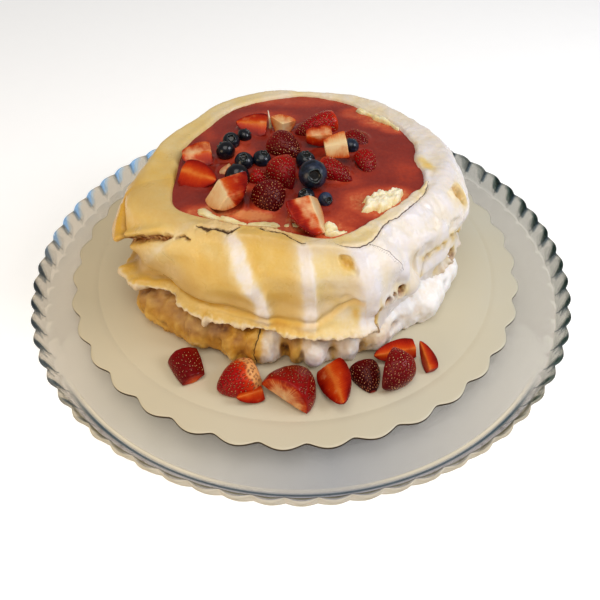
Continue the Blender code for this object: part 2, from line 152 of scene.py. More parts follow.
def around(degrees, table):
    # a value that runs straight between (angle, value) pairs, right round the circle
    angles, values = zip(*sorted(table))
    return np.interp(degrees, angles, values, period=360)


def lumps(points, size, octaves=3, seed=0):
    # noise of about -1 to 1 at each point, with lumps of this many millimetres
    start = Vector((11.3 * seed, 5.1 - 7.7 * seed, 3.9 * seed))
    flat = points.reshape(-1, 3) / size
    values = [noise.fractal(Vector(point) + start, 1.0, 2.0, octaves) for point in flat.tolist()]
    return np.array(values).reshape(points.shape[:-1])


def ellipseAway(x, y, spot, across, deep, turn):
    # how far out from a turned ellipse's middle, 1 on its edge
    c, s = math.cos(math.radians(turn)), math.sin(math.radians(turn))
    x, y = x - spot[0], y - spot[1]
    return np.hypot((x * c + y * s) / across, (y * c - x * s) / deep)


def evenAngles(count, phase=0):
    # this many degrees right round
    return phase + np.arange(count) * 360 / count


def polarGrid(radius, degrees, height, centre=(0, 0)):
    # a ring of points
    turn = np.radians(degrees)
    radius, height = radius + 0 * turn, height + 0 * turn
    return np.stack([centre[0] + radius * np.cos(turn), centre[1] + radius * np.sin(turn), height], axis=-1)


def throughStations(stations, steps):
    # rows of points on a smooth curve up each column of the station rings
    rings = np.array(stations)
    gaps = np.linalg.norm(rings[1:] - rings[:-1], axis=2, keepdims=True) + 1e-6
    runs = (rings[1:] - rings[:-1]) / gaps
    middles = (runs[:-1] * gaps[1:] + runs[1:] * gaps[:-1]) / (gaps[:-1] + gaps[1:])
    tangents = np.concatenate([runs[:1], middles, runs[-1:]])
    rows = []
    for i, count in enumerate(steps):
        for t in np.arange(count) / count:
            bend, rest = t * t * (3 - 2 * t), t * (1 - t)
            row = rings[i] * (1 - bend) + rings[i + 1] * bend
            rows.append(row + gaps[i] * rest * (tangents[i] * (1 - t) - tangents[i + 1] * t))
    return np.array([*rows, rings[-1]])


def gridNormals(grid):
    # the outward direction at each point of a closed grid, rows running up and columns round
    normals = np.cross(np.roll(grid, -1, axis=1) - np.roll(grid, 1, axis=1), np.gradient(grid, axis=0))
    return normals / (np.linalg.norm(normals, axis=2, keepdims=True) + 1e-9)


def placePiece(name, points, faces, material, attributes=None, place=foodPlace):
    # a smooth-shaded object with its place in its mesh, and its attributes as one value a point
    mesh = bpy.data.meshes.new(name)
    mesh.from_pydata(((points + place) * mm).tolist(), [], faces)
    for label, values in (attributes or {}).items():
        layer = mesh.attributes.new(label, "FLOAT", "POINT")
        layer.data.foreach_set("value", np.ravel(values).astype(np.float32))
    mesh.materials.append(material)
    mesh.shade_smooth()
    mesh.update()
    return showObject(name, mesh)


def closedGrid(name, grid, material, attributes, **more):
    # a solid from a grid that closes round, with a fan of faces to a pole at either end
    rows, columns = grid.shape[:2]
    index = np.arange(rows * columns).reshape(rows, columns)
    right = np.roll(index, -1, axis=1)
    low, high = rows * columns, rows * columns + 1
    faces = np.stack([index[:-1], right[:-1], right[1:], index[1:]], axis=-1).reshape(-1, 4).tolist()
    faces += [[low, b, a] for a, b in zip(index[0].tolist(), right[0].tolist())]
    faces += [[high, a, b] for a, b in zip(index[-1].tolist(), right[-1].tolist())]
    points = np.concatenate([grid.reshape(-1, 3), [grid[0].mean(axis=0), grid[-1].mean(axis=0)]])
    values = {}
    for label, layer in attributes.items():
        layer = np.broadcast_to(layer, grid.shape[:2])
        values[label] = np.concatenate([layer.ravel(), [layer[0].mean(), layer[-1].mean()]])
    return placePiece(name, points, faces, material, values, **more)


def boxOf(node):
    # a node's lowest and highest corners in millimetres from the food's middle
    return [np.array(corner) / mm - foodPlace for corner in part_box(node)]


plateTop = boxOf("cake_board")[0][2] - 0.3
boardTop = boxOf("cake_board")[1][2]
baseFoot = boxOf("meringue_base")[0][2]
topFoot, rimTop = (corner[2] for corner in boxOf("meringue_top"))
sauceLevel = boxOf("strawberry_sauce")[1][2]
meringueCentre = (0.0, 2.0)
print("frame read: sauce at", round(sauceLevel, 1), "mm")

# camera, floor and lights, in metres

cameraPlace = {
    "location": (-0.0003, -0.31284, 0.31793),
    "tilt": 42.786,
    "turn": 0.045,
    "roll": -0.567,
    "lens": 36.38,
    "sensor": 36.0,
}

floorPlace = {"size": 6.0, "color": "#fbfbfa", "grain": "#f7f7f6", "glow": 0.31}

worldLight = {"color": "#fbfcff", "strength": 0.26}

lampTable = (  # name, place, aim, size in metres, watts, colour
    ("overhead_softbox", (0.0, -0.4, 1.1), (0.0, 0.0, 0.05), 0.8, 6.6, "#fffaf2"),
    ("window_side", (0.75, -0.2, 0.62), (0.0, 0.0, 0.06), 0.36, 4.2, "#f3f5ff"),
    ("warm_side", (-0.8, -0.75, 0.35), (0.0, 0.0, 0.05), 0.5, 3.4, "#ffdcaa"),
)


def setCamera():
    data = bpy.data.cameras.new("camera")
    data.lens = cameraPlace["lens"]
    data.sensor_width = cameraPlace["sensor"]
    data.clip_start = 0.01
    camera = showObject("camera", data)
    aim = Euler((math.radians(cameraPlace["tilt"]), 0.0, math.radians(cameraPlace["turn"])))
    roll = Matrix.Rotation(math.radians(cameraPlace["roll"]), 3, "Z")
    camera.rotation_euler = (aim.to_matrix() @ roll).to_euler()
    camera.location = cameraPlace["location"]
    bpy.context.scene.camera = camera


def setLights():
    world = bpy.data.worlds.new("studio")
    bpy.context.scene.world = world
    world.use_nodes = True
    sky = {"Color": worldLight["color"], "Strength": worldLight["strength"]}
    fill(world.node_tree.nodes["Background"], sky)
    for name, place, aim, size, power, color in lampTable:
        data = bpy.data.lights.new(name, "AREA")
        data.size = size
        data.energy = power
        data.color = hexColor(color)[:3]
        lamp = showObject(name, data)
        lamp.location = place
        lamp.rotation_euler = (Vector(aim) - Vector(place)).to_track_quat("-Z", "Y").to_euler()


def makeFloor():
    # painted board: an even matt white, with a grain too fine to see
    paint, add, shader = newMaterial("matt_white_paint", Roughness=0.85, Specular_IOR_Level=0.2)
    place = add("ShaderNodeTexCoord").outputs["Object"]
    grain = add("ShaderNodeTexNoise", {"Vector": place, "Scale": 60.0})
    tint = add("ShaderNodeValToRGB", {"Fac": grain},
               stops=[(0.0, floorPlace["color"]), (1.0, floorPlace["grain"])])
    glow = {"Emission Color": floorPlace["color"], "Emission Strength": floorPlace["glow"]}
    fill(shader, {"Base Color": tint, **glow})
    half = floorPlace["size"] / 2 / mm
    points = np.array([(-half, -half, 0), (half, -half, 0), (half, half, 0), (-half, half, 0)])
    placePiece("studio_floor", points, [[0, 1, 2, 3]], paint, place=plateMiddle)


setCamera()
setLights()
makeFloor()
bpy.context.scene.view_settings.view_transform = "Standard"
print("camera, lights and floor set")

# glass plate and cake board: both edges are scalloped by one node group

plateForm = {
    "radius": 182.3, "flutes": 66, "phase": 43.45, "notch": 2.7, "rimWidth": 9.3, "thickness": 4.8,
    "footRadius": 98.0, "footWidth": 8.0, "columns": 20,
    # painted highlights, reflections and shade on the glass, laid over one another in this order
    "tones": {
        "cream": "#e4dabf", "lilac": "#b3aeb8", "sky": "#badbfa", "teal": "#3c514c", "olive": "#6c6a50",
        "slate": "#1c3f52", "tip": "#46473e",
    },
}

boardForm = {
    "centre": (-3.6, -2.4), "radius": 155.9, "lobes": 36, "phase": -17.6, "notch": 4.9, "columns": 20,
    "corner": 0.15, "pressedCircle": 138.0, "pressedDepth": 0.22, "roundness": 0.06,
}


def scallopGroup():
    # pulls the points marked by "scalloped" inwards, most at the notches between the lobes
    numbers = [(label, "Float") for label in ("Lobes", "Depth", "Phase", "Roundness", "Centre X", "Centre Y")]
    tree, add, given = newGroup("scalloped_edge", (*numbers, ("Finish", "Material")))
    share = add("GeometryNodeInputNamedAttribute", {"Name": "scalloped"}, data_type="FLOAT")
    spot = add("GeometryNodeInputPosition")
    centre = add("ShaderNodeCombineXYZ", {"X": given["Centre X"], "Y": given["Centre Y"]})
    out = add("ShaderNodeVectorMath", {0: spot, 1: centre}, operation="SUBTRACT")
    flat = add("ShaderNodeVectorMath", {0: out, 1: (1, 1, 0)}, operation="MULTIPLY")
    axis = add("ShaderNodeVectorMath", {0: flat}, operation="NORMALIZE")
    split = add("ShaderNodeSeparateXYZ", {0: axis})
    turn = add("ShaderNodeMath", {0: split.outputs["Y"], 1: split.outputs["X"]}, operation="ARCTAN2")
    away = add("ShaderNodeMath", {0: turn, 1: given["Phase"]}, operation="SUBTRACT")
    half = add("ShaderNodeMath", {0: given["Lobes"], 1: 0.5}, operation="MULTIPLY")
    steps = add("ShaderNodeMath", {0: away, 1: half}, operation="MULTIPLY")
    wave = add("ShaderNodeMath", {0: steps}, operation="SINE")
    square = add("ShaderNodeMath", {0: wave, 1: wave, 2: given["Roundness"]}, operation="MULTIPLY_ADD")
    swell = add("ShaderNodeMath", {0: square}, operation="SQRT")
    most = add("ShaderNodeMath", {0: 1.0, 1: given["Roundness"]})
    full = add("ShaderNodeMath", {0: most}, operation="SQRT")
    pull = add("ShaderNodeMath", {0: swell, 1: full}, operation="SUBTRACT")
    depth = add("ShaderNodeMath", {0: pull, 1: given["Depth"]}, operation="MULTIPLY")
    amount = add("ShaderNodeMath", {0: depth, 1: share}, operation="MULTIPLY")
    move = add("ShaderNodeVectorMath", {0: axis, "Scale": amount}, operation="SCALE")
    placed = add("GeometryNodeSetPosition", {"Geometry": given["Geometry"], "Offset": move})
    real = add("GeometryNodeRealizeInstances", {"Geometry": placed})
    done = add("GeometryNodeSetMaterial", {"Geometry": real, "Material": given["Finish"]})
    add("NodeGroupOutput", {"Geometry": done})
    return tree


def scallop(blank, form, count, centre, finish, name):
    # the finished edge, with this many lobes or flutes round its centre
    values = {"Lobes": float(count), "Depth": form["notch"] * mm, "Phase": math.radians(form["phase"]),
              "Roundness": form.get("roundness", 0.0), "Centre X": centre[0] * mm, "Centre Y": centre[1] * mm,
              "Finish": finish}
    return runGroup(blank, scallops, values, name)


def pressedGlass():
    # soda-lime glass pressed in a mould, clear, with a warm grey cast of painted shade; the blue, grey-green
    # and other colours on the flutes and rim are painted reflections, shade and highlights
    glass, add, shader = newMaterial("pressed_glass", Roughness=0.06, IOR=1.45, Transmission_Weight=0.9)
    place = add("ShaderNodeTexCoord").outputs["Object"]
    split = add("ShaderNodeSeparateXYZ", {0: place})
    # painted shade seen through the glass: light and warm at the left, greyest just right of the middle
    side = add("ShaderNodeMapRange", {"Value": split.outputs["X"], "From Min": -0.17, "From Max": 0.17})
    color = add("ShaderNodeValToRGB", {"Fac": side},
                stops=[(0.0, "#e3ddd3"), (0.22, "#d9d6cf"), (0.55, "#c2c3c5"), (1.0, "#dcd9d2")])
    read = {}
    for label, tone in plateForm["tones"].items():
        read[label] = add("ShaderNodeAttribute", attribute_name=label).outputs["Fac"]
        color = add("ShaderNodeMix", {"Factor": read[label], "A": color, "B": tone}, data_type="RGBA")
    ripple = add("ShaderNodeTexNoise", {"Vector": place, "Scale": 45.0, "Detail": 2.0})
    bump = add("ShaderNodeBump", {"Height": ripple, "Strength": 0.12, "Distance": 0.6 * mm})
    fill(shader, {"Base Color": color, "Normal": bump})
    clear = add("ShaderNodeBsdfTransparent", {"Color": color})
    thin = add("ShaderNodeMixShader", {0: 0.7, 1: shader, 2: clear})
    # the rim's bright lines are painted highlights: a matt cream surface that catches the light
    paintedHighlight = add("ShaderNodeBsdfDiffuse", {"Color": plateForm["tones"]["cream"]})
    seen = add("ShaderNodeMixShader", {0: read["cream"], 1: thin, 2: paintedHighlight})
    shade = add("ShaderNodeBsdfTransparent", {"Color": "#faf9f7"})
    path = add("ShaderNodeLightPath").outputs["Is Shadow Ray"]
    both = add("ShaderNodeMixShader", {0: path, 1: seen, 2: shade})
    fill(glass.node_tree.nodes["Material Output"], {"Surface": both})
    return glass


def makePlate():
    form = plateForm
    reach, width, top, foot = form["radius"], form["rimWidth"], plateTop, form["footRadius"]
    under, footWidth = plateTop - form["thickness"], form["footWidth"]
    section = (  # radius, height, how much it is scalloped, from the foot's inner side outwards and over
        (foot - 1.25 * footWidth, under, 0), (foot - 1.05 * footWidth, 0.6, 0), (foot - footWidth, 0, 0),
        (foot, 0, 0), (foot + 0.3, 0.6, 0), (foot + 0.25 * footWidth, under, 0),
        (reach - width - 4, under, 0), (reach - 0.7 * width, under, 0), (reach - 4.7, under + 1.0, 0.5),
        (reach - 3.2, top - 1.0, 0.6), (reach - 2.2, top + 2.0, 0.7), (reach - 0.8, top + 6.0, 0.9),
        (reach - 0.1, top + 7.8, 1), (reach - 0.5, top + 8.8, 0.95), (reach - 1.7, top + 9.1, 0.6),
        (reach - 2.9, top + 8.8, 0.25), (reach - 3.6, top + 8.0, 0.12), (reach - 5.2, top + 4.4, 0.08),
        (reach - 6.6, top + 1.5, 0.05), (reach - 7.8, top + 0.4, 0), (reach - width, top, 0),
        (reach - width - 3, top, 0), (foot + 40, top, 0), (foot, top, 0), (40, top, 0),
    )
    degrees = evenAngles(form["flutes"] * form["columns"], form["phase"])
    steps = [1] * 7 + [3] * (len(section) - 11) + [1] * 3
    grid = throughStations([polarGrid(radius, degrees, height) for radius, height, _ in section], steps)
    row, ends = np.arange(len(grid)), np.cumsum([0, *steps])
    scalloped = np.interp(row, ends, [share for _, _, share in section])[:, None]
    # where each painted highlight, reflection and shade lies: across a flute from notch to notch, up the rim,
    # and round the plate
    across = np.abs(np.sin(np.radians(degrees - form["phase"]) * form["flutes"] / 2))
    side = ((degrees - form["phase"]) * form["flutes"] / 360 % 1 - 0.5) * 2
    bearing = degrees % 360
    fromFront = np.abs(bearing - 270)
    rise = grid[..., 2] - top
    spread = np.hypot(grid[..., 0], grid[..., 1])
    inner = smooth(reach - 1.6, reach - 2.0, spread) * (row > ends[13])[:, None]
    outer = (row < ends[14])[:, None] * (spread > reach - 5.6)
    crown = smooth(8.0, 8.7, rise)
    front, far = smooth(58, 40, fromFront), smooth(30, 52, fromFront)
    east = smooth(62, 40, np.minimum(bearing, 360 - bearing))
    way = np.clip((spread - reach + 7.5) / 7.5, 0, 1)
    groove = smooth(1.0, 0.5, across / (0.06 + 0.34 * way)) * (way > 0) * (rise > -1) * (1 - 0.4 * crown)
    # the camera's side of each flute, and its outer edge, where the crescents of painted shade and painted
    # reflection lie
    near = side * np.where((bearing > 90) & (bearing < 270), 1, -1)
    inmost = reach - 0.7 - 4.4 * np.clip(near + 0.2, 0, 1.2)
    crescent = smooth(-0.6, -0.2, near) * smooth(inmost - 0.5, inmost + 0.3, spread) * (rise > -1) * far
    slateGroove = groove * far * (0.85 - 0.5 * bell(bearing - 140, 30))
    slateLine = front * bell(spread - 173.8, 0.9) * inner
    slateEdge = 0.9 * crescent * smooth(168, 188, bearing) * smooth(300, 240, bearing)
    tealEdge = 0.85 * crescent * np.maximum(smooth(240, 300, bearing), bearing < 30)
    tealEdge += 0.45 * crescent * bell(bearing - 45, 20) + 0.3 * east * np.maximum(outer, crown) * far
    tealLine = 0.8 * bell(fromFront - 42, 9) * bell(spread - 174.2, 1.1) * inner
    creamLine = (0.2 + 0.5 * smooth(4, 26, fromFront)) * front * bell(spread - 171.4, 0.8) * (rise > -0.5)
    # slate, teal, olive and tip are painted shade, lilac and sky painted reflections, cream painted
    # highlights
    layers = {
        "slate": np.maximum(np.maximum(slateGroove, slateLine), slateEdge),
        "teal": np.maximum(tealEdge, tealLine),
        "sky": 0.92 * crescent * smooth(188, 168, bearing) * smooth(100, 125, bearing),
        "olive": front * bell(spread - (reach - 3.0), 0.8) * smooth(7.0, 8.0, rise),
        "lilac": 0.5 * front * smooth(174.4, 175.2, spread) * smooth(reach - 3.4, reach - 4.2, spread),
        "cream": np.maximum(creamLine, 0.4 * front * outer),
        "tip": 0.9 * front * outer * smooth(-1.9, -2.8, rise),
    }
    layers = {name: np.clip(layer, 0, 1) for name, layer in layers.items()}
    glass = pressedGlass()
    blank = closedGrid("plate_blank", grid, glass, {"scalloped": scalloped, **layers}, place=plateMiddle)
    plate = scallop(blank, form, form["flutes"], (0, 0), glass, "fluted_plate")
    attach(plate, body)
    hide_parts("glass_plate")


def coatedCard():
    # grey card under a thin satin film: cream and faintly blotched, warmer and lighter at the left and cooler
    # at the right as painted light
    card, add, shader = newMaterial("film_coated_card", Roughness=0.42, Specular_IOR_Level=0.45)
    place = add("ShaderNodeTexCoord").outputs["Object"]
    blotch = add("ShaderNodeTexNoise", {"Vector": place, "Scale": 14.0, "Detail": 3.0})
    split = add("ShaderNodeSeparateXYZ", {0: place})
    side = add("ShaderNodeMapRange", {"Value": split.outputs["X"], "From Min": -0.15, "From Max": 0.15})
    # painted light: warm at the left, cool at the right
    paintedSideLight = add("ShaderNodeValToRGB", {"Fac": side},
               stops=[(0.0, "#dccca8"), (0.5, "#cfc8b2"), (1.0, "#c5c4b6")])
    toned = add("ShaderNodeMix", {"Factor": blotch, "A": paintedSideLight, "B": "#cabfa2"}, data_type="RGBA")
    gloss = add("ShaderNodeMapRange", {"Value": blotch, "To Min": 0.34, "To Max": 0.52})
    fill(shader, {"Base Color": toned, "Roughness": gloss})
    return card


def cutCard():
    # the die-cut edge: bare brown-grey board with its fibres showing; its brown is made darker as painted
    # shade
    card, add, shader = newMaterial("die_cut_board", Roughness=0.8)
    place = add("ShaderNodeTexCoord").outputs["Object"]
    fibre = add("ShaderNodeTexNoise", {"Vector": place, "Scale": 900.0})
    tint = add("ShaderNodeValToRGB", {"Fac": fibre}, stops=[(0.25, "#2c2114"), (0.75, "#4e3e28")])
    fill(shader, {"Base Color": tint})
    return card


def makeBoard():
    form = boardForm
    reach, corner, ring = form["radius"], form["corner"], form["pressedCircle"]
    bottom, dip = plateTop + 0.3, form["pressedDepth"]
    section = (  # radius, height, how much it is scalloped
        (100, bottom, 0), (145, bottom, 0), (reach - corner, bottom, 1), (reach, bottom + corner, 1),
        (reach, bottom + 0.9, 1), (reach, boardTop - corner, 1), (reach - 0.1, boardTop - 0.1, 1),
        (reach - corner, boardTop, 1), (reach - 2, boardTop, 0.8), (reach - 6, boardTop, 0.1),
        (142, boardTop, 0), (ring + 1.2, boardTop, 0), (ring + 0.5, boardTop - dip, 0),
        (ring - 0.5, boardTop - dip, 0), (ring - 1.2, boardTop, 0), (120, boardTop, 0),
        (90, boardTop, 0),
    )
    count = form["lobes"] * form["columns"]
    degrees = evenAngles(count, form["phase"])
    grid = np.array([polarGrid(radius, degrees, height, form["centre"]) for radius, height, _ in section])
    film = coatedCard()
    shares = np.array([[share] for _, _, share in section])
    blank = closedGrid("board_blank", grid, film, {"scalloped": shares})
    board = scallop(blank, form, form["lobes"], form["centre"] + foodPlace[:2], film, "scalloped_board")
    board.data.materials.append(cutCard())
    for face in board.data.polygons[2 * count:6 * count]:
        face.material_index = 1
    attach(board, body)
    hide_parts("cake_board")


scallops = scallopGroup()
makePlate()
makeBoard()
print("plate and board made")

# meringue: two lofted layers, with ridges, folds, tears and cracks pressed into a fine grid

# what the crack layer says away from every crack; nearer, it is the distance over the crack's half width
noCrack = 12

# lobes are (angle in degrees, half width in degrees, millimetres)
wellLobes = (
    (-147, 14, 11), (-104, 14, -6), (-77, 10, 3), (-50, 12, -2),
    (-19, 9, 4), (-3, 6, -3), (47, 13, -3), (89, 14, 2), (150, 15, -4),
)
crestLobes = (
    (-165, 30, 10), (-104, 16, -8), (-69, 8, 5), (-42, 18, -5),
    (2, 24, 8), (82, 16, -6), (148, 12, -3),
)
shoulderLobes = (
    (-160, 22, 20), (-104, 18, -5), (-69, 8, 3), (-42, 16, -1),
    (-6, 26, 11), (45, 18, -3), (82, 16, -5), (118, 16, -1), (145, 16, -6),
)
flankLobes = (
    (-160, 16, 22), (-125, 12, 3), (-95, 16, -5), (-68, 8, 3),
    (-42, 14, -3), (-6, 24, 11), (60, 20, 2), (118, 22, 2),
)
waistLobes = (
    (-158, 15, 10), (-125, 12, 5), (-100, 12, -1), (-68, 8, 5),
    (-42, 16, -3), (-5, 20, 8), (100, 30, 2), (170, 16, 5),
)
lipLobes = (
    (-153, 13, 18), (-141, 6, -6), (-128, 10, 4), (-104, 8, -4), (-74, 12, 6),
    (-45, 16, -8), (-8, 12, 5), (30, 14, 3), (75, 12, 3), (130, 20, 4), (175, 10, 8),
)
baseLobes = (
    (-147, 24, 13), (-107, 8, 3), (-97, 4, -5), (-52, 10, -2), (-34, 9, 4),
    (-2, 22, 4), (60, 18, 1), (115, 16, 3), (165, 14, 2),
)

# a ridge: its angle at the rim, half way and at the lip, then its flat half width, how far it falls
# away to the left and to the right, its height in millimetres, and how much paler its crown is
topRidges = (
    (-171, -168, -166, 1.5, 8, 8, 1.5, 0.1), (-133, -144, -154, 0.6, 11, 5, 3.4, 0.3),
    (-116.5, -104.6, -102.6, 2.2, 9, 2.4, 6.0, 1.0), (-88.6, -86.6, -87.4, 2.4, 8, 2.4, 4.6, 0.95),
    (-70.5, -67.8, -69.5, 3.4, 5, 7, 5.6, 1.0), (-60, -50.5, -47, 0.6, 11, 2.0, 5.0, 0.0),
    (-38, -31, -29, 2, 10, 6, 2.2, 0.0), (-18, -15, -12, 2, 12, 8, 2.6, 0.0),
    (12, 16, 20, 2, 9, 6, 4.2, 0.4), (40, 44, 47, 1.5, 7, 9, 3.6, 0.3), (66, 70, 74, 2, 9, 6, 4.4, 0.6),
    (93, 96, 99, 1.5, 6, 8, 3.8, 0.5), (118, 123, 127, 2, 8, 6, 4.6, 0.8),
    (146, 149, 152, 1.5, 9, 6, 4.0, 0.6),
)
baseFolds = (
    (-165, 6, 3.5), (-147, 5, 5.0), (-126, 4, 4.0), (-112, 3.5, 4.0), (-105.5, 2, 2.0),
    (-99.3, 2.9, 5.0), (-92, 1.6, 3.0), (-85, 3.4, 5.0), (-74, 2.6, 4.5), (-62, 5, 4.0), (-40, 6, 3.5),
    (-20, 6, 4.0), (2, 7, 3.5), (24, 7, 4.0), (47, 6, 3.5), (68, 7, 4.0), (92, 6, 3.0), (112, 7, 4.0),
    (136, 6, 3.5), (158, 7, 4.0),
)

topForm = {
    "columns": 900, "crowding": 0.28,
    "wellRadius": 74.5, "crestRadius": 85.0, "crestWidth": 4.0,
    "bump": 0.55,
    "belly": (
        (-170, 0), (-160, -4), (-150, -6), (-135, -5), (-122, -1), (-112, 3), (-95, 3), (-75, 1.5),
        (-60, 0), (-30, 1), (0, 0), (60, 2), (120, 2),
    ),
    # where the crust has parted: (angle, height over the layer's foot), and how wide each is there
    "flapTear": (
        (-178, 22), (-168, 23), (-160, 24.5), (-156, 27), (-152, 34), (-147, 40), (-142, 44), (-136, 46),
    ),
    "flapTearOpen": (
        (-180, 0), (-172, 3), (-164, 6.5), (-155, 7), (-149, 6), (-144, 4.6), (-139, 2.6), (-136.5, 0),
        (180, 0),
    ),
    "smallTear": ((-136, 45.5), (-133.5, 48), (-131, 46.5)),
    "smallTearOpen": ((-136, 0), (-135, 0.9), (-131.5, 0.8), (-130.5, 0)),
    "sideTear": (
        (-50, 4), (-46, 6.5), (-43.5, 10), (-41.5, 15), (-38, 23.5), (-32, 25), (-27, 24), (-20, 19),
        (-14, 14.5), (-9, 11),
    ),
    "sideTearOpen": (
        (-49, 0), (-46, 1.4), (-42, 0.9), (-38, 1.6), (-33, 1.6), (-28, 3.2), (-22, 2.0), (-16, 2.4),
        (-11, 3.4), (-6, 0),
    ),
    # the line where the wall folds out into the lip
    "lipFold": ((-160, 4.5), (-146, 6), (-132.6, 9.6), (-118.6, 11), (-106, 9.2), (-95, 9), (-83.6, 10.5),
                (-79.7, 12.7), (-76, 17.5), (-72.5, 22.5), (-70, 24), (-69, 8), (-40, 6), (0, 8), (60, 9),
                (120, 8), (170, 7)),
    "lipFoldDepth": (
        (-165, 1.0), (-146, 2.4), (-125, 2.4), (-110, 2.0), (-96, 1.0), (-86, 1.4), (-74, 1.6),
        (-70, 0.2), (-60, 0.2), (-30, 0.8), (60, 1.2), (170, 1.0),
    ),
    # the crack round the rim: (angle, radius), and its half width
    "rimCrack": ((-131, 88), (-129, 86.7), (-126.1, 85.9), (-124.1, 82.8), (-121, 82.4), (-118.4, 81.8),
                 (-117.2, 78.7), (-116.4, 75), (-115.4, 71.2), (-109.8, 70.4), (-105.3, 73),
                 (-98.2, 72.3), (-96, 73.5), (-92.8, 77.5), (-89.3, 81.6), (-84, 83), (-76.2, 85.2),
                 (-74, 87.9), (-71.7, 89.6), (-69.3, 90.6), (-66.8, 89.9), (-63.4, 88.7), (-59.6, 85.6),
                 (-55.5, 81.7), (-51.6, 80.4), (-47.5, 81.8), (-43.3, 81.1), (-37.2, 81.5),
                 (-27.4, 82.5), (-22, 82), (-15, 81)),
    "rimCrackWidth": (
        (-131, 0.02), (-129.5, 0.6), (-126, 1.1), (-122, 1.1), (-118, 1.1), (-116, 0.6), (-114, 0.9),
        (-108, 0.85), (-103, 0.5), (-97, 0.25), (-90, 0.3), (-87, 0.02), (-78, 0.02), (-75, 0.22),
        (-70, 0.3), (-63, 0.3), (-58, 0.45), (-50, 0.4), (-44, 0.32), (-30, 0.28), (-22, 0.2),
        (-18, 0.02),
    ),
    # a fine branch of it, (height, angle), and its half width
    "branchCrack": ((32.0, -54.6), (39.0, -56.2), (45.5, -59.2), (49.4, -62.5), (51.5, -64.8)),
    "branchWidth": 0.16,
    # points drawn out of the lip's edge
    "spikes": ((-156.5, 1.8, 4.5), (-149, 2.0, 2), (-137, 1.6, -3), (-121.6, 0.8, 3.5), (-110, 2.5, 2.2),
               (-101, 3, -2), (-93, 2.5, 1.5), (-44, 1.2, 3), (-37, 1.2, -2.5), (-20, 1.5, 1.5),
               (-11, 1.4, 1.5), (-6, 1.2, -1)),
    # small openings in the crust: angle, height, half width round, half width up, depth, how brown inside
    # (caramel, and painted shade)
    "holes": (
        (-54.6, 17.0, 3.0, 3.4, 5.0, 1.0), (-61.8, 16.6, 2.8, 2.4, 3.6, 1.0),
        (-58.2, 17.0, 1.6, 1.5, 2.0, 0.9), (-18.9, 6.5, 4.6, 4.4, 5.0, 0.85),
        (-16.6, 44, 4.6, 5.6, 3.6, 0.35), (-38, 22.5, 2.6, 2.4, 2.0, 0.4), (-27, 23, 4.6, 2.6, 2.6, 0.3),
        (-12, 11, 4.4, 3.0, 3.0, 0.4), (-74.5, 46.5, 3.6, 3.4, 2.6, 0.0),
        (-72.6, 44.5, 2.4, 2.2, 1.6, 0.0), (-74.0, 24.0, 5.5, 3.0, 1.2, 0.0),
        (-29.5, 3.0, 4.0, 3.0, 1.6, 0.12), (-41, 30, 6, 7, 1.4, 0.0), (-25, 32, 7, 5, 1.6, 0.0),
        (-36, 44, 6, 3, 1.0, 0.0), (171, 42, 13, 8, 2.0, 0.0), (-177, 33, 9, 9, 1.8, 0.0),
        (152, 39, 11, 9, 1.8, 0.0), (-45.5, 24, 2.4, 10, 1.8, 0.0),
    ),
    # how far the lip runs down over the foot layer: (angle, millimetres)
    "apron": (
        (-180, 0), (-160, 1), (-150, 0), (-67, 0), (-64.8, 1), (-62.5, 13), (-55, 16), (-51, 10),
        (-47, 6), (-42, 9), (-34, 8), (-27, 5), (-20, 7), (-8, 5), (8, 0), (40, 4), (55, 0), (95, 3),
        (110, 0), (150, 3),
    ),
    # gold and dark tints on the crust: angle, height, half width round, half width up, amount
    "tints": (
        (-74.5, 46.0, 3.6, 3.6, 0.5), (-72, 14, 2.0, 6, 0.45), (-88, 6, 8, 3, 0.3), (-97, 7, 7, 3, 0.25),
        (-55, 16.5, 7, 5, 0.28), (-44, 9, 5, 5, 0.4), (-38, 23, 6, 3, 0.55), (-32, 24.5, 6, 3, 0.7),
        (-26, 23, 7, 3.4, 0.7), (-19, 7, 8, 4, 0.7), (-18, 17, 8, 3.5, 0.6), (-11, 11, 9, 4.5, 0.65),
        (-45.5, 24, 2.6, 10, 0.22), (-16.6, 44, 6, 6, 0.8), (-41, 30, 7, 8, 0.12), (-25, 33, 9, 7, 0.1),
        (-36, 44, 7, 4, 0.14), (-62, 36, 4, 8, 0.10), (-48, 33, 3, 9, 0.12), (-65, 9, 1.2, 9, 0.9),
        (-160, 32, 9, 8, 0.35), (-163, 40, 6, 6, 0.3), (-29.5, 3, 5, 4, 0.3),
    ),
    # the crease at the flap's side: (angle, height)
    "flapCrease": ((-172, 46), (-163, 43), (-159, 38.5), (-155, 34.5), (-152, 32), (-150, 30)),
    # where the lip has split
    "slitAngle": -65.2,
    # how far the wall runs out over the lip, how white its crust is, and how toasted, by angle
    "skirt": ((-70, 0), (-63, 3.5), (-50, 6), (-25, 5), (0, 3), (20, 0)),
    "pale": ((-150, 0), (-95, 0), (-72, 0.7), (-60, 1), (10, 1), (60, 0.6), (110, 0.3), (150, 0.1)),
    # golden on the left partly as toasting and partly as painted warm light
    "toast": (
        (-180, 0.6), (-165, 0.7), (-150, 0.6), (-140, 0.56), (-125, 0.66), (-112, 0.66), (-100, 0.66),
        (-91, 0.62), (-84, 0.4), (-75, 0.36), (-68, 0.12), (-58, 0.1), (-40, 0.06), (-15, 0.07),
        (10, 0.12), (45, 0.2), (80, 0.3), (120, 0.44), (150, 0.52),
    ),
    # the middle of the golden hollow on the rim
    "hollow": (78.5, -8.5),
}


def columnAngles(count, crowding):
    # angles in degrees right round, closest together at the front
    even = np.arange(count) * 2 * math.pi / count - math.pi
    return np.degrees(even - crowding * np.sin(even + math.pi / 2))


def between(turn, start, full, fade, end):
    # 1 in the middle of a stretch of angles, falling to 0 at both of its ends
    return smooth(start, full, turn) * smooth(end, fade, turn)


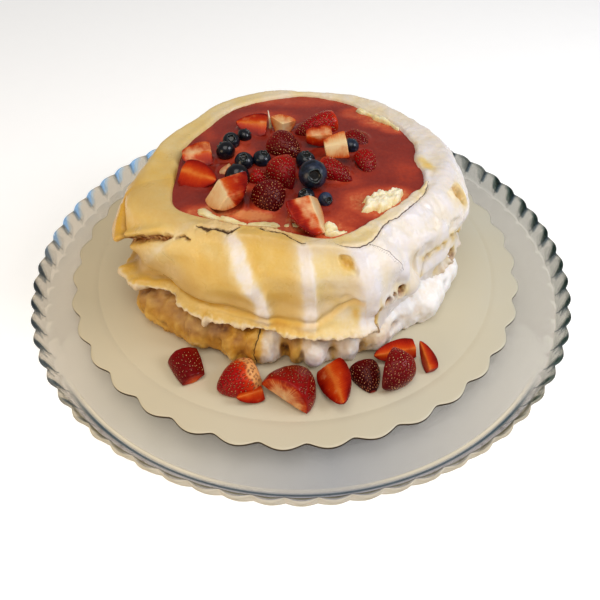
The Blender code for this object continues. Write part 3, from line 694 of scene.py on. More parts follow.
def measure(grid, degrees, foot):
    # each point's height over the layer's foot, its distance from the middle, its angle and its row
    height = grid[..., 2] - foot
    spread = np.hypot(grid[..., 0] - meringueCentre[0], grid[..., 1] - meringueCentre[1])
    return height, spread, np.broadcast_to(degrees, height.shape), np.arange(len(grid))[:, None]


def patchAway(turn, height, spread, patch):
    # how far out from a patch's middle, squared, 1 on its edge; a patch is angle, height, half width
    # round, half width up
    angle, level, halfRound, halfUp = patch
    return (np.radians(turnFrom(turn, angle)) * spread / halfRound) ** 2 + ((height - level) / halfUp) ** 2


def ridgeAway(degrees, drop, reach, ridge):
    # how far to the right of a ridge's line, in millimetres, at this share of the way down
    top, middle, lip = ridge[:3]
    line = top * (1 - drop) * (1 - 2 * drop) + 4 * middle * drop * (1 - drop) + lip * drop * (2 * drop - 1)
    return np.radians(turnFrom(degrees, line)) * reach


def ridgeHeight(degrees, drop, reach, ridges):
    # a flat crown with a hollow sweep to either side of each ridge
    total = np.zeros_like(degrees)
    for ridge in ridges:
        flat, left, right, height = ridge[3:7]
        away = ridgeAway(degrees, drop, reach, ridge)
        beyond = np.maximum(np.abs(away) - flat, 0)
        fall = np.where(away < 0, left, right)
        total += height * np.exp(-(np.sqrt(beyond ** 2 + 0.8) - 0.89) / fall)
    return total - 1.3


def parted(height, line, gap):
    # 1 inside a tear that opens this far down from its line, 0 outside
    inside = smooth(-0.5, 0.3, line - height) * smooth(0.4, -0.4, line - gap - height)
    return np.where(gap > 0.05, inside, 0)


def wellEdge(degrees):
    return topForm["wellRadius"] + lobes(degrees, wellLobes)


def loftTop(form, degrees):
    # the nest before its details, and the rows at its shoulder, its crest, its rim's middle and its well
    well = wellEdge(degrees)
    crest = np.maximum(form["crestRadius"] + lobes(degrees, crestLobes), well + form["crestWidth"])
    belly = around(degrees, form["belly"])
    wall = (  # radius, height, lobes and their share, the ridges' share, how far down they are
        (86, 0.0, lipLobes, 0.3, 0, 1), (97, 0.3, lipLobes, 0.9, 0.1, 1),
        (103.0, 0.7, lipLobes, 1, 0.25, 1), (104.4, 1.9, lipLobes, 1, 0.3, 1),
        (103.4, 3.2, lipLobes, 1, 0.35, 1), (101.2, 4.6, lipLobes, 0.88, 0.45, 0.95),
        (98.2, 9, lipLobes, 0.6, 0.7, 0.85), (97.4 - belly, 16, waistLobes, 0.9, 1, 0.65),
        (98.6, 30, flankLobes, 1, 1, 0.35), (96.2, 39.5, shoulderLobes, 0.85, 0.9, 0.15),
        (89, 47.2, shoulderLobes, 1, 0.55, 0),
    )
    rim = (  # radius, height
        (crest, rimTop), (0.45 * crest + 0.55 * (well + 1.5), rimTop - 0.15), (well + 1.5, rimTop - 0.8),
        (well + 0.2, sauceLevel - 0.8), (well - 2, sauceLevel - 15),
    )
    stations = []
    for radius, height, entries, lobed, ridged, drop in wall:
        reach = radius + lobed * lobes(degrees, entries)
        reach = reach + ridged * ridgeHeight(degrees, drop, reach, topRidges)
        stations.append(polarGrid(reach, degrees, topFoot + height, meringueCentre))
    stations += [polarGrid(radius, degrees, height, meringueCentre) for radius, height in rim]
    steps = (3, 4, 3, 3, 3, 6, 9, 16, 11, 9, 11, 8, 8, 4, 3)
    return throughStations(stations, steps), [sum(steps[:station]) for station in (10, 11, 12, 13)]


def makeTop():
    form = topForm
    rim = rimTop - topFoot
    degrees = columnAngles(form["columns"], form["crowding"])
    grid, (shoulderRow, crestRow, middleRow, wellRow) = loftTop(form, degrees)
    height, spread, turn, rows = measure(grid, degrees, topFoot)
    plan = grid * (1, 1, 0)
    apron = around(turn, form["apron"]) * (1 + 0.3 * lumps(plan, 6, 2, 6))
    grid[..., 2] -= apron * smooth(1, 7, rows) * smooth(20, 11, rows)
    grid[..., 2] = np.maximum(grid[..., 2], baseFoot + 1)
    outside = smooth(14, 20, rows)
    onWall = rows <= shoulderRow + 3
    ragged = lumps(grid, 3.2, 3, 5)

    # the fold that turns the wall out into the lip, and the wall's swell over it
    over = height - around(turn, form["lipFold"]) - 0.8 * lumps(plan, 14, 2, 3)
    foldDepth = around(turn, form["lipFoldDepth"])
    aboveLip = onWall * smooth(3.5, 7, height)
    swell = 0.7 * bell(over - 3.4, 2.8) - np.exp(-np.abs(over)) + 0.5 * bell(over + 3.2, 2.0)
    push = aboveLip * foldDepth * swell

    # torn places: under the flap at the left, the small one beside it, and at the right; their brown is
    # caramel, and under the flap painted shade too
    brown = np.zeros_like(height)
    tears = np.zeros_like(height)
    for name, dark in (("flapTear", 1.0), ("smallTear", 1.0), ("sideTear", 0.32)):
        gap = around(turn, form[name + "Open"])
        line = around(turn, form[name]) + ragged * np.minimum(gap / 2.5, 1)
        tear = onWall * parted(height, line, gap * (1 + 0.4 * ragged))
        tears = np.maximum(tears, tear)
        brown = np.maximum(brown, dark * tear)
    push -= 4.4 * tears

    # the flap hangs over its tear, and its top turns down to its side at a crease
    overFlap = height - around(turn, form["flapTear"])
    flap = onWall * between(turn, -178, -166, -146, -135)
    push += flap * (3.6 * bell(overFlap - 2.2, 2.6) - 1.4 * bell(overFlap + 4.5, 3.0))
    overCrease = height - np.interp(turn, *zip(*form["flapCrease"]))
    creased = onWall * between(turn, -175, -168, -152, -149)
    push += creased * (1.6 * bell(overCrease + 4.5, 3.2) - 2.0 * bell(overCrease, 1.2))

    # openings in the crust, with a raised edge where they are dark
    for *patch, depth, dark in form["holes"]:
        away = np.sqrt(patchAway(turn, height, spread, patch)) + 0.18 * ragged
        push -= onWall * depth * smooth(1.2, 0.5, away)
        if dark:
            push += onWall * 0.7 * bell(away - 1.35, 0.25)
        brown = np.maximum(brown, onWall * dark * smooth(1.3, 0.8, away))

    # a slit where the lip has split
    away = np.radians(turn - form["slitAngle"]) * spread + 0.5 * ragged
    slit = onWall * bell(away, 0.9) * smooth(18, 14, height) * smooth(-1, 1.5, height)
    push -= 3.4 * slit
    brown = np.maximum(brown, 0.8 * slit)

    # the crack round the rim, with its outer edge raised, and a fine branch that runs down from it
    crackLine = around(turn, form["rimCrack"]) + 0.5 * lumps(plan, 2.4, 2, 8)
    crackWidth = around(turn, form["rimCrackWidth"])
    steep = np.gradient(crackLine, axis=1) / (np.radians(np.gradient(degrees)) * crackLine)
    crackAway = (spread - crackLine) / np.sqrt(1 + steep ** 2)
    onRim = (height > rim - 9) & (rows < wellRow) & (crackWidth > 0.08)
    crack = np.where(onRim, np.clip(crackAway / np.maximum(crackWidth, 0.1), -noCrack, noCrack), noCrack)
    groove = onRim * bell(crackAway, 0.6 + crackWidth) * smooth(0.08, 0.25, crackWidth)
    push -= (0.9 + 1.3 * crackWidth) * groove
    push += onRim * 0.8 * bell(crackAway - 1.6, 1.3) * smooth(0.3, 0.7, crackWidth)
    branchLine = np.interp(height, *zip(*form["branchCrack"])) + 0.25 * ragged
    branch = np.radians(turn - branchLine) * spread / form["branchWidth"]
    onBranch = (height > form["branchCrack"][0][0]) & (rows < crestRow + 2) & (spread > crackLine)
    branch = np.where(onBranch & (np.abs(branch) < noCrack), branch, noCrack)
    crack = np.where(np.abs(branch) < np.abs(crack), branch, crack)
    push -= 0.12 * bell(branch, 4)

    # the torn strip of crumb between the crack and the sauce at the front
    strip = onRim * smooth(0.2, -0.6, crackAway) * between(turn, -131, -127, -97, -88)
    push += strip * (0.3 + 0.35 * lumps(grid, 1.8, 3, 12))
    # at the right the wall runs out into its lip with no hollow under it
    push += onWall * outside * around(turn, form["skirt"]) * bell(height - 12, 7.5)

    # soft lumps, and a finer ripple where the crust is white and wrinkled
    pale = around(turn, form["pale"])
    soft = lumps(grid, 17, 2, 1)
    wrinkle = lumps(grid * (1, 1, 0.5), 8.0, 3, 7)
    ripple = lumps(grid, 3.4, 2, 2)
    push += outside * (form["bump"] * soft + 0.12 * ripple + pale * (0.65 * wrinkle + 0.1 * ripple))
    crumpled = onWall * (smooth(-165, -180, turn) + smooth(60, 100, turn)) * smooth(rim - 22, rim - 6, height)
    push += crumpled * (2.8 * lumps(plan, 24, 2, 14) + 0.8 * lumps(plan, 9, 3, 16))
    frayed = 1.8 * lumps(plan, 9, 4, 4) + 0.9 * lumps(grid, 2.2, 3, 9) + lobes(degrees, form["spikes"])
    push += smooth(20, 8, rows) * smooth(3, 7, rows) * frayed
    grid = grid + gridNormals(grid) * push[..., None]
    grid[..., 2] = np.maximum(grid[..., 2], baseFoot + 0.5)

    # the crowns of the ridges are paler
    drop = np.clip(1 - height / rim, 0, 1)
    streak = lumps(grid * (1, 1, 0.25), 3.0, 3, 10)
    crown = np.zeros_like(height)
    for *line, flat, left, right, _, paler in topRidges:
        away = ridgeAway(turn, drop, spread, line) + 0.5 * ragged + 0.5 * streak
        fall = np.where(away < 0, 0.24 * left + 0.8, 0.24 * right + 0.7)
        beyond = np.maximum(np.abs(away) - flat * smooth(-0.2, 0.15, drop), 0) / fall
        crown = np.maximum(crown, paler * np.exp(-(beyond ** 1.3)))
    crown *= smooth(2, 7, height) * smooth(middleRow - 3, crestRow - 6, rows) * (0.86 + 0.3 * ripple)

    # golden under the fold and on the flap's side, partly as painted warm light, and where a tint lies
    gold = bell(over + 1.0, 1.9) * smooth(-86, -90, turn) * (0.75 + 0.5 * ripple)
    gold = np.maximum(gold, 0.5 * bell(over + 1.2, 2.2) * between(turn, -90, -86, -71, -67))
    flapSide = creased * smooth(1.0, -1.5, overCrease) * smooth(-1, 2, overFlap) * smooth(-148, -158, turn)
    gold = onWall * np.maximum(gold, flapSide)
    tint = np.zeros_like(height)
    for *patch, amount in form["tints"]:
        away = patchAway(turn, height, spread, patch) + 0.5 * ragged
        tint = np.maximum(tint, onWall * amount * np.exp(-np.maximum(away, 0)))
    lining = onRim * smooth(0.3, -0.8, crackAway) * between(turn, -79, -70, -18, -8)
    # a golden hollow where the sauce comes furthest out at the right
    x, y = plan[..., 0] - form["hollow"][0], plan[..., 1] - form["hollow"][1]
    away = ((0.9 * x + 0.44 * y) / 3.4) ** 2 + ((0.9 * y - 0.44 * x) / 9.0) ** 2 + 0.3 * ragged
    hollow = np.exp(-away) * smooth(rim - 8, rim - 3, height)

    # how toasted the crust is, 0 white to 1 golden: paler on what stands proud, darker in the hollows; its
    # gold on the left is partly painted warm light
    front, back = smooth(-62, -95, turn), smooth(60, 120, turn)
    onTop = smooth(rim - 6, rim - 1.0, height)
    lipRim = smooth(3.6, 2.0, height + ragged) * smooth(0.2, 0.8, height)
    toast = around(turn, form["toast"]) * (1 - 0.85 * crown) - 0.05 * onTop * (front + back)
    toast += 0.12 * gold + tint + 0.22 * lining + 0.55 * hollow + 0.05 * lumps(grid, 9, 3, 15)
    toast -= outside * (0.10 * soft * (1 - pale) + 0.12 * wrinkle * pale)
    foot = smooth(30, 10, height) * smooth(-1.2, 0.6, over) * (1 - crown) * (1 - gold) * (front + back)
    farLeft = smooth(-118, -136, turn) * smooth(34, 24, height) * smooth(-1, 2, over)
    inFold = aboveLip * bell(over - 0.3, 0.9) * np.minimum(foldDepth / 1.6, 1)
    # the shade layer is painted shade: low on the wall above the lip, over the top, and at the far left under
    # the flap; the shadow layer is painted shadow in the lip's fold and the flap's crease
    layers = {
        "toast": toast * (1 - 0.7 * lipRim),
        "brown": brown,
        "strip": strip + 0.75 * lipRim,
        "shade": 0.9 * foot + onTop * (0.5 * front + 0.15 * back) + 0.75 * farLeft,
        "pink": crown * (front + back) + 0.5 * pale * smooth(-0.2, 0.5, soft),
        "shadow": onWall * np.maximum(0.45 * inFold * (front + back), 0.8 * bell(overCrease, 0.9) * creased),
        "gold": gold * (1 - lipRim),
    }
    layers = {name: np.clip(layer, 0, 1) for name, layer in layers.items()}
    crust = bakedMeringue("meringue_crust", topTones)
    piece = closedGrid("meringue_nest", grid, crust, {"crack": crack, **layers})
    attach(piece, body)
    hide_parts("meringue_top")


topTones = {
    "ramp": ((0.0, "#e0dadb"), (0.16, "#e2d7c6"), (0.42, "#e0c88c"), (0.68, "#dcb55c"), (1.0, "#c38a28")),
    "shade": "#b08a52", "pink": "#ecdfd2", "crumb": "#dcbe88", "caramel": "#9a5c20", "crack": "#3e1d08",
    "gold": "#dcae42", "shadow": "#7d5a2c", "roughness": (0.2, 0.5),
}
baseTones = {
    "ramp": ((0.0, "#f6f3f0"), (0.25, "#e8d6ba"), (0.5, "#d8ac50"), (0.75, "#b88328"), (1.0, "#885214")),
    "shade": "#8a6c50", "pink": "#d9c8c4", "crumb": "#e9cf9f", "caramel": "#7a4314", "crack": "#2e1a0c",
    "gold": "#e0a53a", "shadow": "#5e3b18", "roughness": (0.42, 0.68),
}


def bakedMeringue(name, tones):
    # whipped egg white and sugar dried slowly: a brittle eggshell-smooth crust, chalk white to caramel
    crust, add, shader = newMaterial(
        name, Specular_IOR_Level=0.42, Subsurface_Weight=0.1, Subsurface_Scale=2.5 * mm,
        Subsurface_Radius=(1.0, 0.7, 0.4))
    place = add("ShaderNodeTexCoord").outputs["Object"]
    read = {label: add("ShaderNodeAttribute", attribute_name=label).outputs["Fac"]
            for label in ("toast", "brown", "crack", "strip", "shade", "pink", "shadow", "gold")}
    cloud, speck, sugar, bubbles = (
        add("ShaderNodeTexNoise", {"Vector": place, "Scale": scale, "Detail": 3.0})
        for scale in (70.0, 750.0, 260.0, 420.0))
    drift = add("ShaderNodeMath", {0: cloud, 1: 0.16, 2: -0.08}, operation="MULTIPLY_ADD")
    fine = add("ShaderNodeMath", {0: speck, 1: 0.14, 2: -0.07}, operation="MULTIPLY_ADD")
    uneven = add("ShaderNodeMath", {0: drift, 1: fine})
    amount = add("ShaderNodeMath", {0: read["toast"], 1: uneven}, use_clamp=True)
    color = add("ShaderNodeValToRGB", {"Fac": amount}, stops=tones["ramp"])
    # shade and shadow lay painted shade over the crust, and on the foot layer pink is painted shade under the
    # lip too
    for label, tone, most in (("pink", "pink", 0.6), ("shade", "shade", 0.55), ("gold", "gold", 0.75),
                              ("shadow", "shadow", 0.8), ("strip", "crumb", 0.8)):
        part = add("ShaderNodeMath", {0: read[label], 1: most}, operation="MULTIPLY")
        color = add("ShaderNodeMix", {"Factor": part, "A": color, "B": tones[tone]}, data_type="RGBA")
    # torn meringue inside: caramel, broken up by its bubbles, with painted shade in the deepest of them
    pits = add("ShaderNodeValToRGB", {"Fac": bubbles},
               stops=[(0.34, tones["crack"]), (0.5, tones["caramel"]), (0.74, tones["ramp"][2][1])])
    torn = add("ShaderNodeMix", {"Factor": read["brown"], "A": color, "B": pits}, data_type="RGBA")
    # the crack is painted shade: dark where the distance to its line is under its width
    gap = add("ShaderNodeMath", {0: read["crack"]}, operation="ABSOLUTE")
    wobble = add("ShaderNodeMath", {0: speck, 1: 1.2, 2: -0.6}, operation="MULTIPLY_ADD")
    rough = add("ShaderNodeMath", {0: gap, 1: wobble})
    line = add("ShaderNodeMapRange", {"Value": rough, "From Min": 1.35, "From Max": 0.75, "To Max": 0.92})
    final = add("ShaderNodeMix", {"Factor": line, "A": torn, "B": tones["crack"]}, data_type="RGBA")
    least, most = tones["roughness"]
    gloss = add("ShaderNodeMapRange",
                {"Value": cloud, "From Min": 0.3, "From Max": 0.7, "To Min": least, "To Max": most})
    dull = add("ShaderNodeMath", {0: gloss, 1: line}, operation="MAXIMUM")
    # eggshell pitting, and coarse crumb where the crust is torn
    coarse = add("ShaderNodeMath", {0: read["brown"], 1: read["strip"]}, operation="MAXIMUM")
    deep = add("ShaderNodeMath", {0: bubbles, 1: coarse}, operation="MULTIPLY")
    grainy = add("ShaderNodeMath", {0: sugar, 1: 1.2, 2: speck}, operation="MULTIPLY_ADD")
    relief = add("ShaderNodeMath", {0: deep, 1: 4.0, 2: grainy}, operation="MULTIPLY_ADD")
    bump = add("ShaderNodeBump", {"Height": relief, "Strength": 0.5, "Distance": 0.3 * mm})
    fill(shader, {"Base Color": final, "Roughness": dull, "Normal": bump})
    return crust


baseForm = {
    "columns": 760, "crowding": 0.25,
    # hollows are angle, height, half width round, half width up, depth, how brown inside (caramel, and
    # painted shade)
    "hollows": (
        (-138, 9, 5, 4, 3.0, 0.5), (-131, 5, 3, 2, 1.5, 0.7), (-117, 12, 4, 7, 2.5, 0.4),
        (-95.4, 10, 2.4, 8, 4.5, 1.0), (-89.6, 9, 1.8, 7, 2.5, 0.3), (-79.5, 11, 3, 6, 4.0, 0.6),
        (-69.5, 9, 2.4, 7, 3.0, 0.5), (-55, 14, 7, 5, 3.0, 0.5), (-28, 17, 4, 3, 2.0, 0.3),
        (15, 12, 6, 6, 3.0, 0.4), (58, 10, 6, 7, 3.0, 0.4), (102, 11, 7, 6, 3.0, 0.4),
        (147, 10, 6, 6, 3.0, 0.4),
    ),
    # the crack up a fold is (height, angle), the one near the foot (angle, height)
    "foldCrack": ((0, -104), (14, -104.6), (26, -103.8)),
    "footCrack": ((-150, 2.2), (-142, 4.4), (-134, 2.0), (-126, 3.5), (-118, 2.2), (-106, 3.2)),
    # how toasted it is: (angle, 0 white to 1 dark)
    "toast": (
        (-180, 0.55), (-160, 0.72), (-140, 0.74), (-115, 0.76), (-106, 0.8), (-103.5, 0.6),
        (-101.5, 0.16), (-97.6, 0.14), (-96, 0.62), (-94, 0.72), (-91, 0.66), (-89, 0.25), (-86, 0.1),
        (-81, 0.12), (-79, 0.45), (-76.5, 0.16), (-72, 0.12), (-69, 0.4), (-64, 0.16), (-50, 0.03),
        (-20, 0.02), (10, 0.15), (60, 0.4), (120, 0.5), (150, 0.5),
    ),
}


def makeBase():
    form = baseForm
    degrees = columnAngles(form["columns"], form["crowding"])
    edge, folds = lobes(degrees, baseLobes), lobes(degrees, baseFolds)
    section = (  # radius, height, the lobes' share, the folds' share
        (60, 0.0, 0.2, 0), (92, 0.0, 0.6, 0), (100.4, 0.3, 1, 0.5), (102.4, 2.2, 1, 0.6),
        (104, 8, 1, 0.9), (103, 17, 0.9, 1), (96, 24, 0.6, 0.5), (88, 26.2, 0.4, 0), (60, 26.2, 0, 0),
    )
    stations = [polarGrid(radius + lobed * edge + folded * folds, degrees, baseFoot + height, meringueCentre)
                for radius, height, lobed, folded in section]
    grid = throughStations(stations, (1, 4, 5, 8, 12, 11, 8, 2))
    height, spread, turn, rows = measure(grid, degrees, baseFoot)
    wall = smooth(3, 7, rows) * smooth(len(grid) - 3, len(grid) - 8, rows)
    ragged = lumps(grid, 3.0, 3, 21)
    pleats = lumps(grid * (1, 1, 0.4), 8, 3, 22)
    left = smooth(-100, -112, np.where(turn > 100, turn - 360, turn))
    push = (1.5 + 0.9 * left) * pleats + 0.25 * lumps(grid, 3, 3, 23)
    # painted shade: brown in the deepest pleats at the left
    brown = 0.55 * left * smooth(-0.35, -0.8, pleats)
    for *patch, depth, dark in form["hollows"]:
        away = np.sqrt(patchAway(turn, height, spread, patch)) + 0.15 * ragged
        push -= depth * smooth(1.3, 0.1, away)
        brown = np.maximum(brown, dark * smooth(0.85, 0.2, away))
    # thin cracks: one near the foot, and one that runs up the wall
    line = around(turn, form["footCrack"]) + 1.2 * ragged
    low = np.where(between(turn, -152, -148, -108, -104) > 0.5, (height - line) / 0.32, noCrack)
    side = np.radians(turn - np.interp(height, *zip(*form["foldCrack"]))) * spread + 0.7 * ragged
    upright = np.where(np.abs(side) < 6, side / 0.3, noCrack)
    crack = np.clip(np.where(np.abs(low) < np.abs(upright), low, upright), -noCrack, noCrack)
    push -= 0.8 * bell(crack, 3)
    frill = smooth(4.5, 1.0, height) * smooth(2, 6, rows)
    push += frill * 1.5 * lumps(grid * (1, 1, 0), 6, 3, 24)
    grid = grid + gridNormals(grid) * (push * wall)[..., None]
    grid[..., 2] = np.maximum(grid[..., 2], baseFoot)
    proud = np.clip(folds / 4, 0, 1) * smooth(18, 8, height)
    toast = around(turn, form["toast"]) * (1 - 0.3 * proud)
    # the pleats' hollows more toasted and their bulges less: painted shade and light
    toast += 0.08 * lumps(grid, 5, 2, 25) - (0.12 + 0.12 * left) * pleats
    # painted shade high on the wall under the top layer's lip, laid as shade and a little pink
    underLipShade = smooth(12, 21, height) * smooth(-30, -60, turn) * smooth(-0.4, 0.5, lumps(grid, 24, 2, 26))
    gold = smooth(0.25, -0.3, pleats) * smooth(14, 5, height) * smooth(-88, -96, turn)
    layers = {
        "toast": np.clip(toast, 0, 1), "brown": np.clip(brown * wall, 0, 1), "crack": crack,
        "strip": 0.7 * frill * smooth(-0.1, 0.5, ragged), "shade": 0.6 * underLipShade, "pink": 0.12 * underLipShade,
        "shadow": 0.0, "gold": 0.55 * gold,
    }
    piece = closedGrid("meringue_foot", grid, bakedMeringue("caramelised_meringue", baseTones), layers)
    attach(piece, body)
    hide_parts("meringue_base")


makeTop()
makeBase()
print("meringue layers made")


# whipped cream in the well, and the strawberry sauce that covers most of it

# mounds are x, y, half width across, half width deep, turn in degrees, height over the sauce
creamForm = {
    "columns": 360, "rings": 84, "bed": -7.0, "curd": 1.9,
    "mounds": (
        (47.5, -42.5, 15.8, 8.4, 28, 4.2), (55, -37, 8.0, 4.5, 30, 3.2), (-52, -53, 10.5, 4.4, -38, 1.3),
        (-38, -59.5, 12, 4.2, -22, 1.2), (-20, -62, 13, 3.4, -4, 0.9), (-3, -62.5, 9, 2.6, 4, 0.6),
        (17.5, -68, 5.0, 7.0, 14, 2.9), (24, -70.5, 5.5, 3.0, 10, 1.6), (57, 46, 10.5, 4.2, -42, 2.4),
        (46.5, 56, 11.5, 3.6, -34, 2.0), (65, 37.5, 6.5, 3.0, -60, 1.8),
    ),
    "peak": {"at": (-19, 39), "height": 12.5, "foot": 1.1, "lean": (-1.2, 3.0)},
}


def freshCream():
    # dairy cream whipped stiff: ivory and matt, with a wet sheen, and butter-yellow in the hollows, partly
    # its own tone and partly painted shade
    cream, add, shader = newMaterial(
        "dairy_cream", Roughness=0.38, Subsurface_Weight=0.35, Subsurface_Scale=4 * mm,
        Subsurface_Radius=(1.0, 0.8, 0.5), Specular_IOR_Level=0.45)
    place = add("ShaderNodeTexCoord").outputs["Object"]
    high = add("ShaderNodeAttribute", attribute_name="high").outputs["Fac"]
    curd = add("ShaderNodeTexNoise", {"Vector": place, "Scale": 260.0, "Detail": 3.0})
    mixed = add("ShaderNodeMath", {0: curd, 1: 0.9, 2: high}, operation="MULTIPLY_ADD")
    tint = add("ShaderNodeValToRGB", {"Fac": mixed},
               stops=[(0.2, "#d98f6c"), (0.36, "#e2c684"), (0.6, "#ebd9a2"), (0.9, "#f0e6c8")])
    bump = add("ShaderNodeBump", {"Height": curd, "Strength": 0.6, "Distance": 0.7 * mm})
    fill(shader, {"Base Color": tint, "Normal": bump})
    return cream


def discRings(reach, degrees, level, count, inmost):
    # rings of points from an edge in to the middle, each ring taking up as much area
    shares = np.sqrt(np.linspace(inmost, 1, count))[::-1]
    return [polarGrid(reach * share, degrees, level, meringueCentre) for share in shares]


def makeCream(finish):
    form = creamForm
    degrees = evenAngles(form["columns"])
    reach = wellEdge(degrees) - 0.6
    top = np.array(discRings(reach, degrees, sauceLevel + form["bed"], form["rings"], 0.0004))
    x, y = top[..., 0], top[..., 1]
    over = np.zeros_like(x) + form["bed"]
    ragged = 0.28 * lumps(top * (1, 1, 0), 5.0, 3, 31)
    for *spot, across, deep, turn, height in form["mounds"]:
        away = ellipseAway(x, y, spot, across, deep, turn) + ragged
        over = np.maximum(over, (height - form["bed"]) * smooth(1.35, 0.55, away) + form["bed"])
    mask = smooth(-2, 1, over)
    tall = np.clip(over / 3, 0.25, 1)
    over += mask * tall ** 1.5 * (form["curd"] * lumps(top, 6.5, 4, 32) + 1.2 * lumps(top, 2.4, 3, 33))
    top[..., 2] = sauceLevel + np.minimum(over, 5.2)
    foot = polarGrid(reach - 1.5, degrees, sauceLevel - 14.5, meringueCentre)
    grid = np.concatenate([[foot], top])
    high = np.concatenate([[0 * degrees], 0.12 * np.clip(over, -1, 5) - 0.02])
    piece = closedGrid("cream_filling", grid, finish, {"high": high})
    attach(piece, body)
    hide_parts("whipped_cream")


def makePeak(finish):
    # a thin spike pulled up where the spoon left the cream
    peak = creamForm["peak"]
    rows = np.linspace(0, 1, 26)
    grid = []
    for share in rows:
        radius = peak["foot"] * (1 - share) ** 0.55 * (0.75 + 0.5 * math.exp(-6 * share)) + 0.12
        centre = [at + lean * share ** 2 for at, lean in zip(peak["at"], peak["lean"])]
        height = sauceLevel - 1.5 + share * peak["height"]
        grid.append(polarGrid(radius, evenAngles(20), height, centre))
    piece = closedGrid("cream_peak", np.array(grid), finish, {"high": (0.12 + 0.25 * rows)[:, None]})
    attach(piece, body)


sauceForm = {
    "columns": 640, "rings": 96, "wave": 0.35,
    # where the sauce thins over the cream: x, y, half width, half depth, turn, how thin
    "thin": (
        (-26, -54, 20, 7, -8, 0.85), (-2, -58, 16, 6, 4, 0.7), (26, -56, 12, 9, 0, 0.45),
        (36, -40, 14, 8, 20, 0.5), (30, -22, 10, 8, 0, 0.3), (22, 8, 8, 6, 0, 0.3),
        (-38, 8, 10, 14, 10, 0.5), (-60, 30, 6, 12, 30, 0.25), (-20, 52, 22, 8, -5, 0.5),
        # the wide patch at the back, at (0, 72), is lighter partly as a painted reflection
        (0, 72, 40, 7, 0, 0.45), (66, -12, 9, 11, 0, 0.26), (56, 42, 10, 6, -50, 0.14),
        (38, 10, 7, 5, 0, 0.2), (-46, 26, 6, 4, 40, 0.7), (-36, -28, 10, 5, 0, 0.55),
    ),
}


def cookedSauce():
    # strained strawberries cooked to a coulis: opaque wine red, wet, lighter where it lies thin on cream
    sauce, add, shader = newMaterial(
        "strawberry_coulis", Roughness=0.22, Specular_IOR_Level=0.35, Coat_Weight=0.2, Coat_Roughness=0.05,
        Subsurface_Weight=0.05, Subsurface_Scale=2 * mm, Subsurface_Radius=(1.0, 0.3, 0.2))
    place = add("ShaderNodeTexCoord").outputs["Object"]
    thin = add("ShaderNodeAttribute", attribute_name="thin").outputs["Fac"]
    swirl = add("ShaderNodeTexNoise", {"Vector": place, "Scale": 55.0, "Detail": 4.0, "Distortion": 1.2})
    pulp = add("ShaderNodeTexNoise", {"Vector": place, "Scale": 480.0, "Detail": 3.0})
    drift = add("ShaderNodeMath", {0: swirl, 1: 0.5, 2: -0.25}, operation="MULTIPLY_ADD")
    flecks = add("ShaderNodeMath", {0: pulp, 1: 0.34, 2: -0.17}, operation="MULTIPLY_ADD")
    both = add("ShaderNodeMath", {0: drift, 1: flecks})
    amount = add("ShaderNodeMath", {0: thin, 1: both})
    raised = add("ShaderNodeMath", {0: amount, 1: 0.22}, use_clamp=True)
    tint = add("ShaderNodeValToRGB", {"Fac": raised},
               stops=[(0.0, "#761a0e"), (0.3, "#8c2a1a"), (0.55, "#a6361c"), (0.8, "#be4c2a"),
                      (1.0, "#d98650")])
    relief = add("ShaderNodeMath", {0: swirl, 1: 2.0, 2: pulp}, operation="MULTIPLY_ADD")
    bump = add("ShaderNodeBump", {"Height": relief, "Strength": 0.5, "Distance": 0.3 * mm})
    fill(shader, {"Base Color": tint, "Normal": bump})
    return sauce


def makeSauce(fruitSpots):
    # the pool, drawn up a little where it meets the meringue and the fruit
    form = sauceForm
    degrees = evenAngles(form["columns"])
    edge = wellEdge(degrees) + 1.1
    rim = ((2.0, -3.0), (0.2, -1.0), (0, 0.15), (0.5, 0.05), (1.2, 0.0), (1.9, 0.0))
    rings = [polarGrid(edge - inset, degrees, sauceLevel + rise, meringueCentre) for inset, rise in rim]
    grid = np.array(rings + discRings(edge - 2.5, degrees, sauceLevel, form["rings"], 0.0003))
    x, y = grid[..., 0], grid[..., 1]
    surface = np.ones(len(grid))[:, None]
    surface[:3] = 0
    rise = form["wave"] * lumps(grid, 16, 2, 41) + 0.12 * lumps(grid, 5, 2, 42)
    for spotX, spotY, reachX, reachY in fruitSpots:
        away = np.hypot((x - spotX) / (reachX + 0.5), (y - spotY) / (reachY + 0.5))
        rise = np.maximum(rise, 0.9 * bell((away - 1) * reachX, 1.6) + 0.4 * rise)
    grid[..., 2] += surface * rise
    thin = np.zeros_like(x)
    for *spot, across, deep, turn, amount in form["thin"]:
        thin = np.maximum(thin, amount * np.exp(-ellipseAway(x, y, spot, across, deep, turn) ** 2.6))
    for moundX, moundY, across, deep, *_ in creamForm["mounds"]:
        away = np.hypot((x - moundX) / (across + 2), (y - moundY) / (deep + 3))
        thin = np.maximum(thin, 0.6 * smooth(1.8, 0.9, away))
    piece = closedGrid("sauce_pool", grid, cookedSauce(), {"thin": thin})
    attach(piece, body)
    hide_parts("strawberry_sauce")


creamFinish = freshCream()
makeCream(creamFinish)
makePeak(creamFinish)
print("cream made")


# strawberries: each piece is a sector of a berry, with rounded cuts and a dimple for each seed

